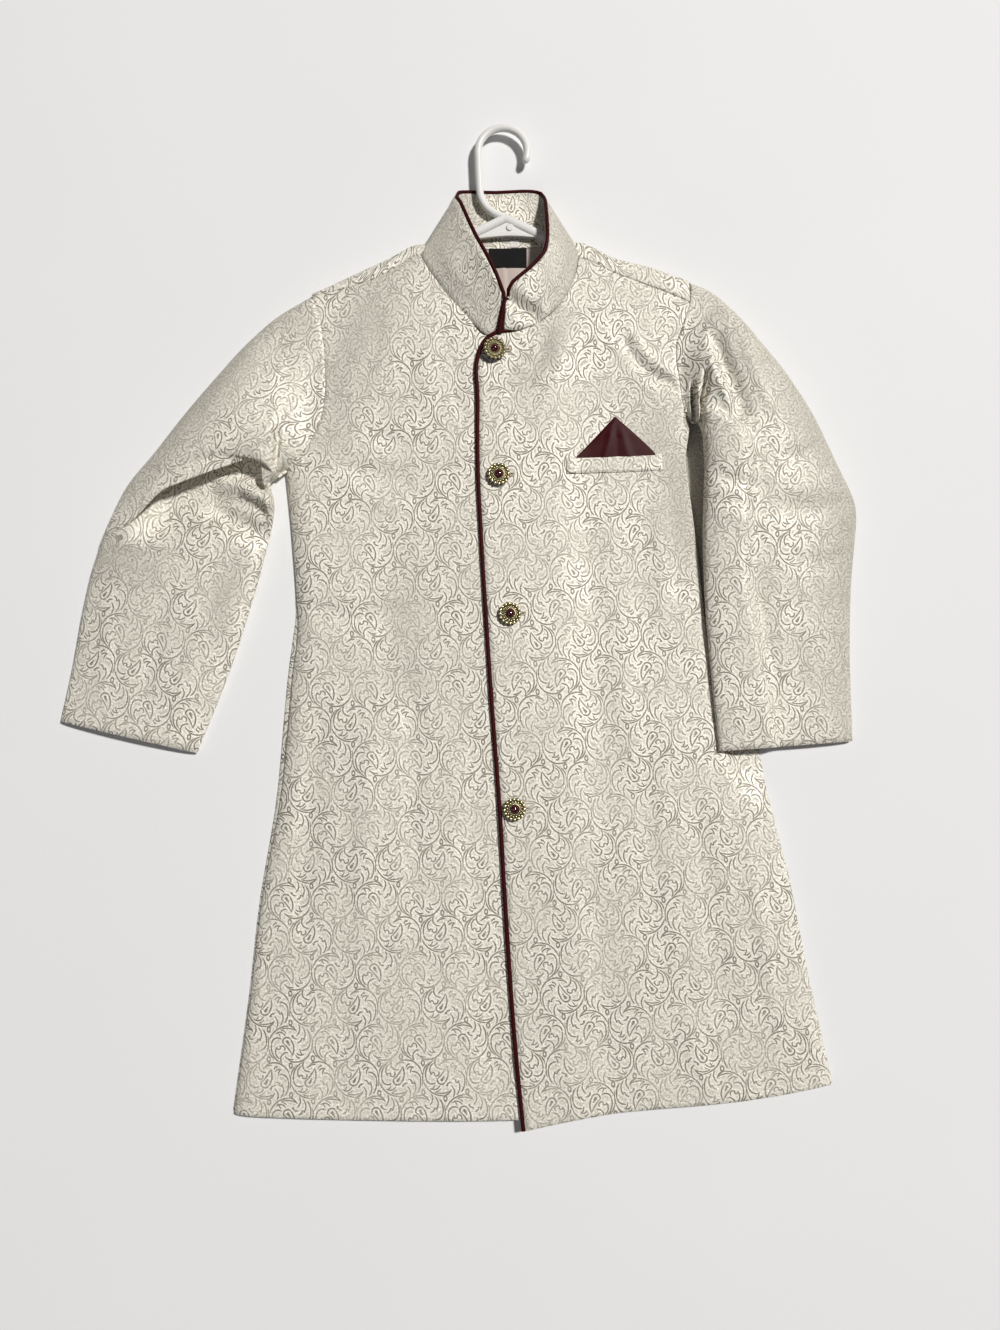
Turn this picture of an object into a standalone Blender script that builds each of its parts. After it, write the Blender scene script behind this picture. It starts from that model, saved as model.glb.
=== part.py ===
"""Child's sherwani coat, buttoned and laid flat on its back, with a hanger in its collar.

The coat lies in the XY plane: +Y runs to the collar, +X to the wearer's left, +Z away from the
surface it lies on. Sizes are in millimetres and are scaled to metres when a mesh is made.
x = 0 is the coat's centre line, and y = 0 lies at the hip, before ORIGIN moves the whole coat.

Each cloth panel is a wall: a grid of points on its outer face, and a second grid set in by the
cloth's thickness. The outer face stands on a height rule for the whole body, so that panels
that lie on each other keep clear of each other.
"""
import math

import bmesh
import bpy
import numpy as np

MM = 0.001
ORIGIN = (-47.8, 43.1)      # middle of the laid-out coat and its hanger

# Cloth
WALL = 1.4                  # brocade with its lining
COLLAR_WALL = 2.0           # two layers of brocade and a stiffener
GAP = 0.3                   # between touching pieces
SEAM = 0.6                  # between cut edges that a seam joins
ARMHOLE_SEAM = 1.2          # the same where both edges curve
FLOOR_TOP = WALL + GAP      # where a panel can rest on the back panel
LAP = 2.5                   # rise of the over front above the under front

# Outline of the body, from the hem to the underarm: half width of the back panel
SIDE = {
    "y": (-372, -335, -273, -200, -106, -50, 0, 30, 60, 117, 178),
    "x": (257, 250.6, 240.3, 230, 211.8, 205, 199, 194, 190, 192, 196),
}
# Armhole seam on each side, from the underarm up to the shoulder: level and half width
ARMHOLE = {
    "right_y": (178, 186, 196, 208, 220, 235, 254, 279, 304, 320, 331),
    "right_x": (196, 187.5, 177, 169, 163.5, 159, 157, 157, 159.3, 163, 166),
    "left_y": (178, 192, 203, 210, 215, 222, 236, 247, 260, 274, 284, 300, 312),
    "left_x": (196, 190, 178, 166, 159, 156, 154.4, 153.3, 151.9, 152, 155.7, 161.8, 166),
}
# Shoulders: the fold that forms the coat's top outline, and the seam in front of it
SHOULDER = {
    "x": (-168, -122, -97, -71, 71, 103, 124, 147, 168),
    "fold": (334, 353.9, 364.6, 376, 372, 356, 350, 341.8, 333),
    "seam": (330.5, 340, 350.3, 363.5, 355, 339.8, 331, 321.5, 311.5),
}
NECK_BACK = 381.0           # y of the back neck seam
NECK_TURN = (62.0, 71.0)    # x where the neck seam leaves the surface, and where it is on top
ROLL = 8.0                  # depth of the rolled shoulder

# Height of the body's outer face above the surface, along its length
CROWN = {
    "y": (-400, -300, -150, 0, 120, 200, 260, 300, 340, 380),
    "z": (7.4, 8.0, 8.8, 9.0, 9.8, 11.5, 14, 15.5, 16.2, 16.2),
}
SLIT_TOP = 60.0             # the side slit on the wearer's right opens below this level
SLIT_INSET = 4.0            # and the back panel shows beside the front there
SIDE_ROUND = 17.0           # width over which a front rounds down to the side seam
VALLEY = {                  # where the wearer's left side dips under the sleeve
    "y": (-125, -95, 20, 90, 125, 150, 182, 200, 210, 219, 228, 236),
    "x": (200, 168, 166, 160, 158.5, 157, 157, 153.5, 151.5, 151, 150.5, 157),
    "width": (30, 24, 20, 8, 5, 5, 5, 5, 5, 5, 5, 8),
}
VALLEY_FLOOR = 4.4


# Largest folds that lie within a panel: points along each, half width and rise (down if negative)
CREASES = {
    "front_over": (
        (((104.6, 301.3), (119, 272.5), (134, 250), (153.9, 239.6)), 8.0, -3.0),
        (((92, 296), (106, 266), (122, 243), (140, 231)), 8.0, 1.2),
    ),
    "sleeve_left": (
        (((196.6, 275.8), (204, 252), (212, 232), (220, 212)), 11.0, -8.0),
        (((222, 282), (229, 250), (238, 226), (247, 206)), 12.0, 2.5),
    ),
}


def glide(table_x, table_y, x):
    """Smooth curve through a table that never swings past its points."""
    xs = np.asarray(table_x, float)
    ys = np.asarray(table_y, float)
    step = np.diff(xs)
    rise = np.diff(ys) / step
    same = rise[:-1] * rise[1:] > 0
    total = np.where(same, rise[:-1] + rise[1:], 1.0)
    middle = np.where(same, 2 * rise[:-1] * rise[1:] / total, 0.0)
    slope = np.concatenate([rise[:1], middle, rise[-1:]])
    at = np.clip(x, xs[0], xs[-1])
    i = np.clip(np.searchsorted(xs, at, side="right") - 1, 0, len(xs) - 2)
    t = (at - xs[i]) / step[i]
    start = (1 + 2 * t) * (1 - t) ** 2 * ys[i] + t * (1 - t) ** 2 * step[i] * slope[i]
    end = t * t * (3 - 2 * t) * ys[i + 1] + t * t * (t - 1) * step[i] * slope[i + 1]
    return start + end


def ease(t):
    """Smooth step from 0 to 1."""
    t = np.clip(t, 0.0, 1.0)
    return t * t * (3 - 2 * t)


def section(rows, t):
    """All columns of a table of sections, at a place t counted in rows."""
    rows = np.asarray(rows, float)
    index = np.arange(len(rows))
    return np.array([glide(index, column, t) for column in rows.T])


# ---------------------------------------------------------------- height of the body

def side_x(y):
    return glide(SIDE["y"], SIDE["x"], y)


def armhole_x(y, side):
    """Half width of the body at a level, along the side and then the armhole.

    side is -1 for the wearer's right and 1 for the wearer's left.
    """
    if y <= SIDE["y"][-1]:
        return float(side_x(y))
    name = "right" if side < 0 else "left"
    return float(glide(ARMHOLE[name + "_y"], ARMHOLE[name + "_x"], y))


def body_height(x, y, side_inset=0.0):
    """Outer face of the lower layer of the fronts, above the surface."""
    crown = glide(CROWN["y"], CROWN["z"], y)
    below = side_x(y) - side_inset - np.abs(x)
    above = np.hypot(np.maximum(y - SIDE["y"][-1], 0.0), np.maximum(SIDE["x"][-1] - np.abs(x), 0.0))
    inset = np.where(y > SIDE["y"][-1], above, np.maximum(below, 0.0))
    dome = np.sqrt(1 - (1 - np.clip(inset / SIDE_ROUND, 0, 1)) ** 2)
    valley_x = glide(VALLEY["y"], VALLEY["x"], y)
    in_valley = ease((x - valley_x) / glide(VALLEY["y"], VALLEY["width"], y) + 0.5)
    in_valley = in_valley * ease((y + 135) / 35) * ease((244 - y) / 14)
    crown = crown + (np.minimum(crown, VALLEY_FLOOR) - crown) * in_valley
    return FLOOR_TOP + (crown - FLOOR_TOP) * dome


def over_height(x, y, side_inset=0.0):
    """Outer face of the over front, which rides on the under front along the centre."""
    return body_height(x, y, side_inset) + LAP * ease((76 - x) / 40)


def creases(name, x, y):
    """Rise of a panel's own folds at plan points, fading out at both ends of each fold."""
    rise = np.zeros(np.shape(x))
    for path, half_width, height in CREASES.get(name, ()):
        nearest = np.full(np.shape(x), np.inf)
        along = np.zeros(np.shape(x))
        points = np.array(path)
        for k, (start, end) in enumerate(zip(points, points[1:])):
            step = end - start
            t = ((x - start[0]) * step[0] + (y - start[1]) * step[1]) / (step @ step)
            t = np.clip(t, 0, 1)
            distance = np.hypot(x - start[0] - t * step[0], y - start[1] - t * step[1])
            along = np.where(distance < nearest, (k + t) / (len(points) - 1), along)
            nearest = np.minimum(nearest, distance)
        fade = np.sqrt(np.clip(4 * along * (1 - along), 0, 1))
        rise = rise + height * fade * ease(1 - nearest / half_width)
    return rise


# ---------------------------------------------------------------- making meshes

def material(name, colour, roughness, metallic=0.0):
    """Principled material with one colour."""
    made = bpy.data.materials.new(name)
    made.use_nodes = True
    shader = made.node_tree.nodes["Principled BSDF"]
    shader.inputs["Base Color"].default_value = (*colour, 1.0)
    shader.inputs["Roughness"].default_value = roughness
    shader.inputs["Metallic"].default_value = metallic
    made.diffuse_color = (*colour, 1.0)
    return made


def add_object(name, verts, faces, finish):
    """One closed body from points in millimetres in the coat's layout."""
    mesh = bpy.data.meshes.new(name)
    points = (np.asarray(verts, float) - (*ORIGIN, 0.0)) * MM
    mesh.from_pydata(points.tolist(), [], faces)
    shaped = bmesh.new()
    shaped.from_mesh(mesh)
    bmesh.ops.recalc_face_normals(shaped, faces=shaped.faces)
    shaped.to_mesh(mesh)
    shaped.free()
    mesh.shade_smooth()
    mesh.set_sharp_from_angle(angle=math.radians(50))
    mesh.materials.append(finish)
    made = bpy.data.objects.new(name, mesh)
    bpy.context.collection.objects.link(made)
    return made


def grid_normals(grid, ring=False):
    """Unit normals of a grid of points (rows, columns, xyz)."""
    along = np.gradient(grid, axis=0)
    if ring:
        across = np.roll(grid, -1, axis=1) - np.roll(grid, 1, axis=1)
    else:
        across = np.gradient(grid, axis=1)
    normal = np.cross(across, along)
    return normal / np.maximum(np.linalg.norm(normal, axis=2, keepdims=True), 1e-9)


def walled(name, outer, wall, finish, facing=1, ring=False, lowest=None):
    """Solid wall behind a grid of outer points; a ring grid closes round its columns.

    facing is 1 where rows x columns turn the way that makes the grid's normal point out.
    """
    inner = outer - facing * wall * grid_normals(outer, ring)
    if lowest is not None:
        inner[:, :, 2] = np.maximum(inner[:, :, 2], lowest)
    rows, columns = outer.shape[:2]
    count = rows * columns
    verts = np.concatenate([outer.reshape(-1, 3), inner.reshape(-1, 3)])
    faces = []
    spans = columns if ring else columns - 1
    for i in range(rows - 1):
        for j in range(spans):
            k = (j + 1) % columns
            a, b, c, d = i * columns + j, i * columns + k, (i + 1) * columns + k, (i + 1) * columns + j
            faces.append((a, b, c, d))
            faces.append((count + d, count + c, count + b, count + a))
    rim = [[i * columns + j for j in range(columns)] for i in (0, rows - 1)]
    if ring:
        rim = [line + line[:1] for line in rim]
    else:
        rim += [[i * columns + j for i in range(rows)] for j in (0, columns - 1)]
    for line in rim:
        for a, b in zip(line, line[1:]):
            faces.append((a, b, count + b, count + a))
    return add_object(name, verts, faces, finish)


def tube(name, path, half_width, half_height, finish, sides=8):
    """Capped elliptical bar along a path of points."""
    path = np.asarray(path, float)
    along = np.gradient(path, axis=0)
    along /= np.linalg.norm(along, axis=1, keepdims=True)
    across = np.cross(along, (0.0, 0.0, 1.0))
    across /= np.linalg.norm(across, axis=1, keepdims=True)
    up = np.cross(across, along)
    width = np.broadcast_to(half_width, len(path))
    height = np.broadcast_to(half_height, len(path))
    verts = []
    for k in range(len(path)):
        for turn in range(sides):
            angle = 2 * math.pi * (turn + 0.5) / sides
            verts.append(path[k] + across[k] * width[k] * math.cos(angle)
                         + up[k] * height[k] * math.sin(angle))
    faces = []
    for k in range(len(path) - 1):
        for turn in range(sides):
            near, far = k * sides + turn, k * sides + (turn + 1) % sides
            faces.append((near, far, far + sides, near + sides))
    faces.append(tuple(range(sides)))
    faces.append(tuple(range(len(verts) - sides, len(verts))))
    return add_object(name, verts, faces, finish)


def turned(name, profile, centre, tilt, finish, sides=24):
    """Solid of revolution about Z from (radius, height) pairs, then tilted about Y."""
    lean = math.radians(tilt)
    verts = []
    for radius, height in profile:
        for turn in range(sides):
            angle = 2 * math.pi * turn / sides
            x, y = radius * math.cos(angle), radius * math.sin(angle)
            verts.append((centre[0] + x * math.cos(lean) + height * math.sin(lean),
                          centre[1] + y,
                          centre[2] - x * math.sin(lean) + height * math.cos(lean)))
    faces = []
    for k in range(len(profile) - 1):
        for turn in range(sides):
            near, far = k * sides + turn, k * sides + (turn + 1) % sides
            faces.append((near, far, far + sides, near + sides))
    faces.append(tuple(range(sides)))
    faces.append(tuple(range(len(verts) - sides, len(verts))))
    return add_object(name, verts, faces, finish)


# ---------------------------------------------------------------- fronts

# Each row is a section of a front from its inner edge (front edge or neck) to a level on its
# outer edge (side or armhole). drop lowers the middle of the row, sway bends it both ways.
UNDER_FRONT = (
    # inner x, inner y, outer y, drop, sway
    (26, -388.5, -374.5, 3.0, 0.0),     # hem
    (26, -320, -312, 1.0, 0.0),
    (26, -220, -215, 0.0, 0.0),
    (26, -120, -115, 0.0, 0.0),
    (26, -30, -30, 0.0, 0.0),
    (26, 40, 48, 0.0, 0.0),             # top of the side slit
    (26, 105, 112, 0.0, 0.0),
    (26, 165, 150, 0.0, 0.0),
    (26, 205, 177, 0.0, 0.0),           # underarm
    (25, 236, 196, 0.0, 0.0),
    (23, 258, 220, 0.0, 0.0),
    (21, 275, 243, 0.0, 0.0),
    (6, 286, 262, 0.0, 0.0),
    (-15.7, 289.5, 279, 0.0, 0.0),      # neck seam from here
    (-31, 307.5, 294, 1.0, 0.0),
    (-47.7, 327.5, 307, 2.0, 0.0),
    (-59, 344.5, 319, 3.0, 0.0),
    (-70.5, 363, 330, 4.5, 0.0),        # shoulder seam
)
OVER_FRONT = (
    (-8, -396.5, -369, 0.0, 3.0),       # hem
    (-12.5, -318, -322, 0.0, 0.0),
    (-15.6, -215, -222, 0.0, 0.0),
    (-17.4, -120, -118, 0.0, 0.0),
    (-20.6, -30, -30, 0.0, 0.0),
    (-22.4, 40, 48, 0.0, 0.0),
    (-23.8, 105, 105, 0.0, 0.0),
    (-24.5, 160, 145, 0.0, 0.0),
    (-23.5, 205, 177, 0.0, 0.0),        # underarm
    (-22.2, 235, 189.5, 0.0, 0.0),
    (-22.6, 257, 206.3, 0.0, 0.0),
    (-19.6, 272.5, 228, 0.0, 0.0),
    (-12.8, 284.5, 246, 0.0, 0.0),      # rounded top corner
    (-2.5, 289.5, 260, 0.0, 0.0),
    (10, 290.5, 272, 0.0, 0.0),         # neck seam from here
    (27, 296, 282, 0.0, 0.0),
    (42, 304.3, 291.5, 0.0, 0.0),
    (54, 316.5, 298, 0.0, 0.0),
    (64, 334, 305, 0.0, 0.0),
    (71, 353.5, 311.5, 0.0, 0.0),       # shoulder seam
)
EDGE_STEPS = (17.0, 9.5, 4.5, 1.4, 0.0)  # distance of the last columns from the outer edge


def front_grid(rows, side, height, columns, stops):
    """Outer points of a front panel, with columns close together where it rounds down."""
    grid = []
    for t in stops:
        inner_x, inner_y, outer_y, drop, sway = section(rows, t)
        slit = SLIT_INSET * float(ease((SLIT_TOP - outer_y) / 25)) if side < 0 else 0.0
        outer_x = side * (armhole_x(outer_y, side) - slit)
        width = math.hypot(outer_x - inner_x, outer_y - inner_y)
        flat = np.linspace(0, width - EDGE_STEPS[0], columns, endpoint=False)
        reach = np.concatenate([flat, width - np.array(EDGE_STEPS)]) / width
        x = inner_x + (outer_x - inner_x) * reach
        y = inner_y + (outer_y - inner_y) * reach
        y = y - 4 * drop * reach * (1 - reach) + sway * np.sin(2 * math.pi * reach)
        y = np.minimum(y, glide(SHOULDER["x"], SHOULDER["seam"], x))
        z = height(x, y, slit)
        z[-1] = FLOOR_TOP if outer_y < SIDE["y"][-1] else z[-1]
        grid.append(np.stack([x, y, z], axis=1))
    return np.array(grid)


# ---------------------------------------------------------------- back panel

BACK_LEVELS = (-372, -300, -215, -120, -30, 48, 112, 177, 189, 204, 220, 238, 252, 265, 280, 298)
BACK_COLUMNS = (-166, -147, -122, -97, -80, -71, -68.5, -65.5, -62, -40, -14,
                14, 40, 62, 65.5, 68.5, 71, 80, 97, 124, 147, 166)
BACK_INSET = 2.0            # the back's side edge lies under the over front by this
ROLL_LENGTH = 42.0          # length of cloth in the rows that make the rolled shoulder


def shoulder_path(x, rows=8):
    """(y, z) points of the back's outer face up to its top edge, at one x."""
    rolled = float(ease((abs(x) - NECK_TURN[0]) / (NECK_TURN[1] - NECK_TURN[0])))
    fold = float(glide(SHOULDER["x"], SHOULDER["fold"], x))
    seam = float(glide(SHOULDER["x"], SHOULDER["seam"], x))
    top = float(over_height(x, seam) if x > 0 else body_height(x, seam))
    depth = min(ROLL, fold - seam - SEAM)
    centre = NECK_BACK + (fold - depth - NECK_BACK) * rolled
    path = [(BACK_LEVELS[-1], 0.0)]
    for k in range(13):
        angle = -math.pi / 2 + math.pi * rolled * k / 12
        path.append((centre + depth * rolled * math.cos(angle), top / 2 * (1 + math.sin(angle))))
    path.append((path[-1][0] + (seam + SEAM - centre) * rolled ** 6, path[-1][1]))
    path = np.array(path)
    length = np.concatenate([[0], np.cumsum(np.hypot(*np.diff(path, axis=0).T))])
    stops = length[-1] - ROLL_LENGTH + ROLL_LENGTH * np.arange(rows + 1) / rows
    return np.stack([np.interp(stops, length, path[:, 0]), np.interp(stops, length, path[:, 1])], axis=1)


def back_grid():
    """Outer points of the back panel: flat rows, then the rows that roll over the shoulders."""
    columns = np.array(BACK_COLUMNS)
    rows = []
    for y in BACK_LEVELS:
        under_right, under_left = armhole_x(y, -1), armhole_x(y, 1)
        if y < SIDE["y"][-1]:
            under_left -= BACK_INSET
        x = columns * np.where(columns < 0, under_right, under_left) / BACK_COLUMNS[-1]
        rows.append([(value, y, 0.0) for value in x])
    paths = [shoulder_path(x) for x in columns]
    for k in range(len(paths[0])):
        row = []
        for x, path in zip(columns, paths):
            y, z = path[k]
            outward = float(ease((abs(x) - 80) / 60))
            narrow = armhole_x(y, np.sign(x)) / BACK_COLUMNS[-1]
            row.append((x * (1 + (narrow - 1) * outward), y, z))
        rows.append(row)
    return np.array(rows, float)


# ---------------------------------------------------------------- sleeves

# Each row is a section of a sleeve from its outer to its inner edge. crown is its height,
# follow how far it keeps the armhole's curve, tuck and dip shift and lower the top layer.
RIGHT_SLEEVE = (
    # outer x, outer y, inner x, inner y, crown, follow, tuck, dip
    (-199.6, 315.1, -200.5, 174.5, 20, 0.80, 0, 0),
    (-226, 292, -205, 170.5, 24, 0.60, 1, 0),
    (-252, 264, -209, 167.5, 27, 0.42, 6, 0),
    (-281, 231, -213, 165.5, 28, 0.26, 12, 0),
    (-309, 197, -214, 165.5, 28, 0.12, 17, 0),
    (-336, 165, -211, 167.5, 27, 0.0, 20, 0),
    (-356, 125, -206, 170, 24, 0.0, 19, 0),          # edge of the fold at the elbow
    (-357.5, 122, -208, 168, 22, 0.0, 31, 10),       # under the fold
    (-359, 117, -212, 163, 22, 0.0, 13, 12),
    (-362, 109, -207, 149, 21, 0.0, 3, 6),
    (-366, 99, -204.3, 134, 19, 0.0, 0, 1),
    (-371, 82, -212, 105, 16.5, 0.0, 0, 0),
    (-378, 54, -228, 60, 14, 0.0, 0, 0),
    (-386.5, 14, -251, 1, 11.5, 0.0, 0, 0),
    (-398.5, -33.5, -280.3, -66, 9, 0.0, 0, 0),      # cuff
)
LEFT_SLEEVE = (
    (184, 324.5, 161.5, 207, 20, 0.9, 0, 0),
    (205.3, 303.6, 164.5, 205, 25, 0.7, 0, 0),
    (228, 273.5, 167.5, 203, 28, 0.5, 0, 0),
    (249.3, 242.3, 169.5, 197, 30, 0.3, 0, 0),
    (270, 206, 170.7, 186, 29, 0.15, 0, 0),
    (287, 166, 171, 168, 27, 0.0, 0, 0),
    (303, 121, 169, 138, 24, 0.0, 0, 0),             # elbow
    (300, 90, 166.5, 100, 21, 0.0, 0, 0),
    (295.8, 56, 166, 53, 17, 0.0, 0, 0),
    (291.6, -10, 168.3, -12, 13, 0.0, 0, 0),
    (290.3, -78.5, 172, -82.3, 9.5, 0.0, 0, 0),      # cuff
)
ARMHOLE_ENDS = {"right": (331.0, 178.5), "left": (312.0, 218.0)}
SLEEVE_OVER_BODY = 6.7      # lower face of the sleeve where it lies on the coat's side
TUCK_START = (0.05, 0.55)   # part of a section over which the elbow's tuck sets in
TUCK_END = 0.08             # and the part at its inner edge over which it ends
TOP_POINTS = 13
BOTTOM_POINTS = 7


def sleeve_rest(x, y, side):
    """Surface that a sleeve lies on: the table, or the side of the coat."""
    if side < 0:
        return np.zeros_like(x)
    edge = np.where(y > SIDE["y"][-1], glide(ARMHOLE["left_y"], ARMHOLE["left_x"], y), side_x(y))
    return SLEEVE_OVER_BODY * ease((20 - (x - edge)) / 12) * ease((234 - y) / 14)


def armhole_line(s, side):
    """Plan of the armhole from the shoulder fold (s = 0) to its lower end (s = 1)."""
    high, low = ARMHOLE_ENDS["right" if side < 0 else "left"]
    y = np.linspace(high, low, 40)
    x = np.array([armhole_x(value, side) for value in y]) + ARMHOLE_SEAM
    x = side * np.concatenate([[SHOULDER["x"][-1]], x])
    y = np.concatenate([[glide(SHOULDER["x"], SHOULDER["fold"], x[0])], y])
    length = np.concatenate([[0], np.cumsum(np.hypot(np.diff(x), np.diff(y)))])
    at = s * length[-1]
    return np.interp(at, length, x), np.interp(at, length, y)


def sleeve_grid(name, rows, side, stops_per_row):
    """Rings of outer points from the armhole to the cuff, top layer first."""
    top_turn = np.linspace(0, math.pi, TOP_POINTS)
    bottom_turn = np.linspace(math.pi, 2 * math.pi, BOTTOM_POINTS + 2)[1:-1]
    turn = np.concatenate([top_turn, bottom_turn])
    s = 0.5 - 0.5 * np.sign(np.cos(turn)) * np.abs(np.cos(turn)) ** 0.85
    is_top = turn <= math.pi + 1e-6
    arm_x, arm_y = armhole_line(s, side)
    end_x, end_y = armhole_line(np.array([0.0, 1.0]), side)
    first = (end_x[0], end_y[0], end_x[1], end_y[1], 16, 1.0, 0, 0)
    rows = (first,) + tuple(rows)
    drift_x = arm_x - (end_x[0] + s * (end_x[1] - end_x[0]))
    drift_y = arm_y - (end_y[0] + s * (end_y[1] - end_y[0]))
    tuck_in = ease((s - TUCK_START[0]) / (TUCK_START[1] - TUCK_START[0]))
    tuck_in = tuck_in * ease((1 - s) / TUCK_END) * is_top
    grid = []
    for t in np.linspace(0, len(rows) - 1, (len(rows) - 1) * stops_per_row + 1):
        outer_x, outer_y, inner_x, inner_y, crown, follow, tuck, dip = section(rows, t)
        chord = np.array([inner_x - outer_x, inner_y - outer_y])
        back = -side * np.array([-chord[1], chord[0]]) / np.linalg.norm(chord)
        x = outer_x + s * chord[0] + follow * drift_x + tuck * tuck_in * back[0]
        y = outer_y + s * chord[1] + follow * drift_y + tuck * tuck_in * back[1]
        rest = sleeve_rest(x, y, side)
        edge = rest + 0.35 * crown
        rise = np.abs(np.sin(turn)) ** 0.8
        z_top = edge + (rest + crown - edge) * rise - dip * tuck_in
        sewn = body_height(x, y) if side < 0 else over_height(x, y)
        at_armhole = (1 - ease(t / 1.6)) * ease(s / 0.06)
        z_top = z_top + (np.minimum(sewn, 17) - z_top) * at_armhole + creases(name, x, y)
        z_bottom = rest + (edge - rest) * np.maximum(0, 1 - 20 * s * (1 - s)) ** 2
        grid.append(np.stack([x, y, np.where(is_top, z_top, z_bottom)], axis=1))
    return np.array(grid)


# ---------------------------------------------------------------- collar

# Each row is a section of the band from the neck seam up to its free edge. It starts at the
# centre front on the wearer's right, passes round the back and ends at the other centre front.
COLLAR = (
    # seam x, seam y, seam z, edge x, edge y, edge z
    (-5.5, 293.0, 17.6, 0.4, 320.5, 27),
    (-13.6, 290.4, 17.2, -5.5, 338, 29),
    (-31, 307.9, 16.6, -12.2, 353.5, 29),
    (-47.3, 327.9, 16.8, -21.5, 373, 27),
    (-58.6, 345.0, 17.0, -28.3, 390.5, 24),
    (-67.8, 362.4, 16.8, -34.5, 409.5, 17),
    (-66.3, 373.5, 12.0, -37.5, 417.5, 10),
    (-63, 380.3, 4.5, -35.5, 423, 3.5),
    (-56, 381.7, 0.0, -31, 424.4, 1.4),
    (-35, 381.7, 0.0, -21, 424.0, 1.4),
    (0, 381.7, 0.0, 0, 422.6, 1.4),
    (35, 381.7, 0.0, 24, 422.8, 1.4),
    (57, 382.0, 0.0, 36, 421.5, 1.4),
    (63.5, 380.0, 4.5, 42, 418, 4),
    (66.4, 371.6, 12.0, 44.8, 410.5, 11),
    (69.6, 359.2, 17.0, 45, 400, 18),
    (67.4, 345.6, 18.2, 45, 387, 24),
    (61.5, 329, 18.6, 44.8, 373.5, 27),
    (52.8, 315.6, 18.9, 42, 357.5, 29),
    (41.2, 304.6, 19.2, 36, 349, 30),
    (26.4, 296.4, 19.4, 24.5, 338.5, 30),
    (12, 292.0, 19.6, 12, 329, 29),
    (1.8, 293.0, 19.6, 5.2, 318.5, 27),
)
COLLAR_HEIGHT_STEPS = 4


def collar_grid(steps_per_row):
    """Outer points of the collar band, slightly rounded outwards between its two edges."""
    grid = []
    for t in np.linspace(0, len(COLLAR) - 1, (len(COLLAR) - 1) * steps_per_row + 1):
        row = section(COLLAR, t)
        up = np.linspace(0, 1, COLLAR_HEIGHT_STEPS + 1)[:, None]
        grid.append(row[:3] + (row[3:] - row[:3]) * up)
    return np.array(grid)


def collar_edge_line():
    """Middle of the piping: round the collar's free edge, then down the over front's end."""
    grid = collar_grid(2)
    middle = grid - COLLAR_WALL / 2 * grid_normals(grid)
    edge = middle[:, -1]
    along = np.gradient(edge, axis=0)
    along /= np.linalg.norm(along, axis=1, keepdims=True)
    away = edge - middle[:, -2]
    away -= along * np.sum(away * along, axis=1, keepdims=True)
    away /= np.linalg.norm(away, axis=1, keepdims=True)
    line = edge + away * (PIPING + 2 * GAP)
    return np.concatenate([line, np.array(COLLAR_END)])


# ---------------------------------------------------------------- trim

PIPING = 1.6                # half thickness of the round maroon piping
EDGE_PIPING = (1.8, 1.5)    # half width and half height of the piping on the front edge
COLLAR_END = ((3.4, 317.5, 26.6), (1.6, 311.5, 24.6), (-0.4, 303.5, 22), (-2.0, 294.6, 19.5))
COLLAR_END_WIDTH = (1.5, 1.7, 2.1, 2.4)
FRONT_EDGE_END = 14.0       # row of OVER_FRONT where its piping runs out
TAPER = 12.0                # length over which that piping thins

WELT = {"x": (51.5, 135.3), "y": 171.6, "height": 14.4, "wall": 1.2}
SQUARE = {"x": (60.5, 129.5), "peak_x": 95.5, "peak": 34.0, "wall": 0.8}

BUTTONS = (
    # x, y, tilt in degrees
    (-7.6, 276.1, 24.0),
    (-8.4, 165.9, 4.0),
    (-3.6, 43.6, 3.0),
    (-6.5, -125.2, 4.0),
)
BUTTON_STAND = 1.0          # height of a button above the cloth
BUTTON = ((3.5, 0.0), (8.4, 0.2), (9.75, 1.2), (9.5, 2.3), (8.4, 2.9), (6.6, 2.2), (4.9, 2.6), (4.1, 1.5))
STONE = ((3.7, 1.8), (3.7, 2.6), (2.7, 3.4), (1.2, 3.8))

LINING = {"x": (-54, 58), "y": (290, 372.4), "bottom": 1.7, "top": 2.3}
FACING = {"x": (-55, 57), "y": (373.0, 380.4), "bottom": 1.7, "top": 2.4}
LABEL = {"centre": (7.9, 363.8), "size": (33.5, 17.5), "bottom": 2.7, "top": 3.2, "turn": -2.3}
SIZE_TAB = {"centre": (14.0, 376.6), "size": (7.5, 6.6), "bottom": 2.7, "top": 3.1, "turn": -2.3}

HANGER_Z = 7.6              # level of the hanger's middle
HANGER_ARMS = ((-150, 325.0), (-100, 349.0), (-50, 371.8), (7.5, 397.5), (38, 380.5), (62, 363.5),
               (108, 341.5), (157, 317.0))
HANGER_ARM = (4.6, 4.0)     # half width and half height of the arms
HANGER_WEB = ((-24, 379.6), (7.5, 381.4), (38, 378.4), (30, 385.5), (7.5, 396), (-15, 387.5))
WEB_THICKNESS = 3.2
HOOK_BAR = 3.35             # radius of the hook's bar
HOOK_LOOP = 22.0            # radius of the hook's curve
HOOK_CENTRE = (7.0, 458.0)
HOOK_STEM = ((6.5, 398.5, 7.6), (-4, 403.5, 8.4), (-11.5, 411, 9.2), (-14.6, 420, 9.4), (-15, 436, 9.4))


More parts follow.
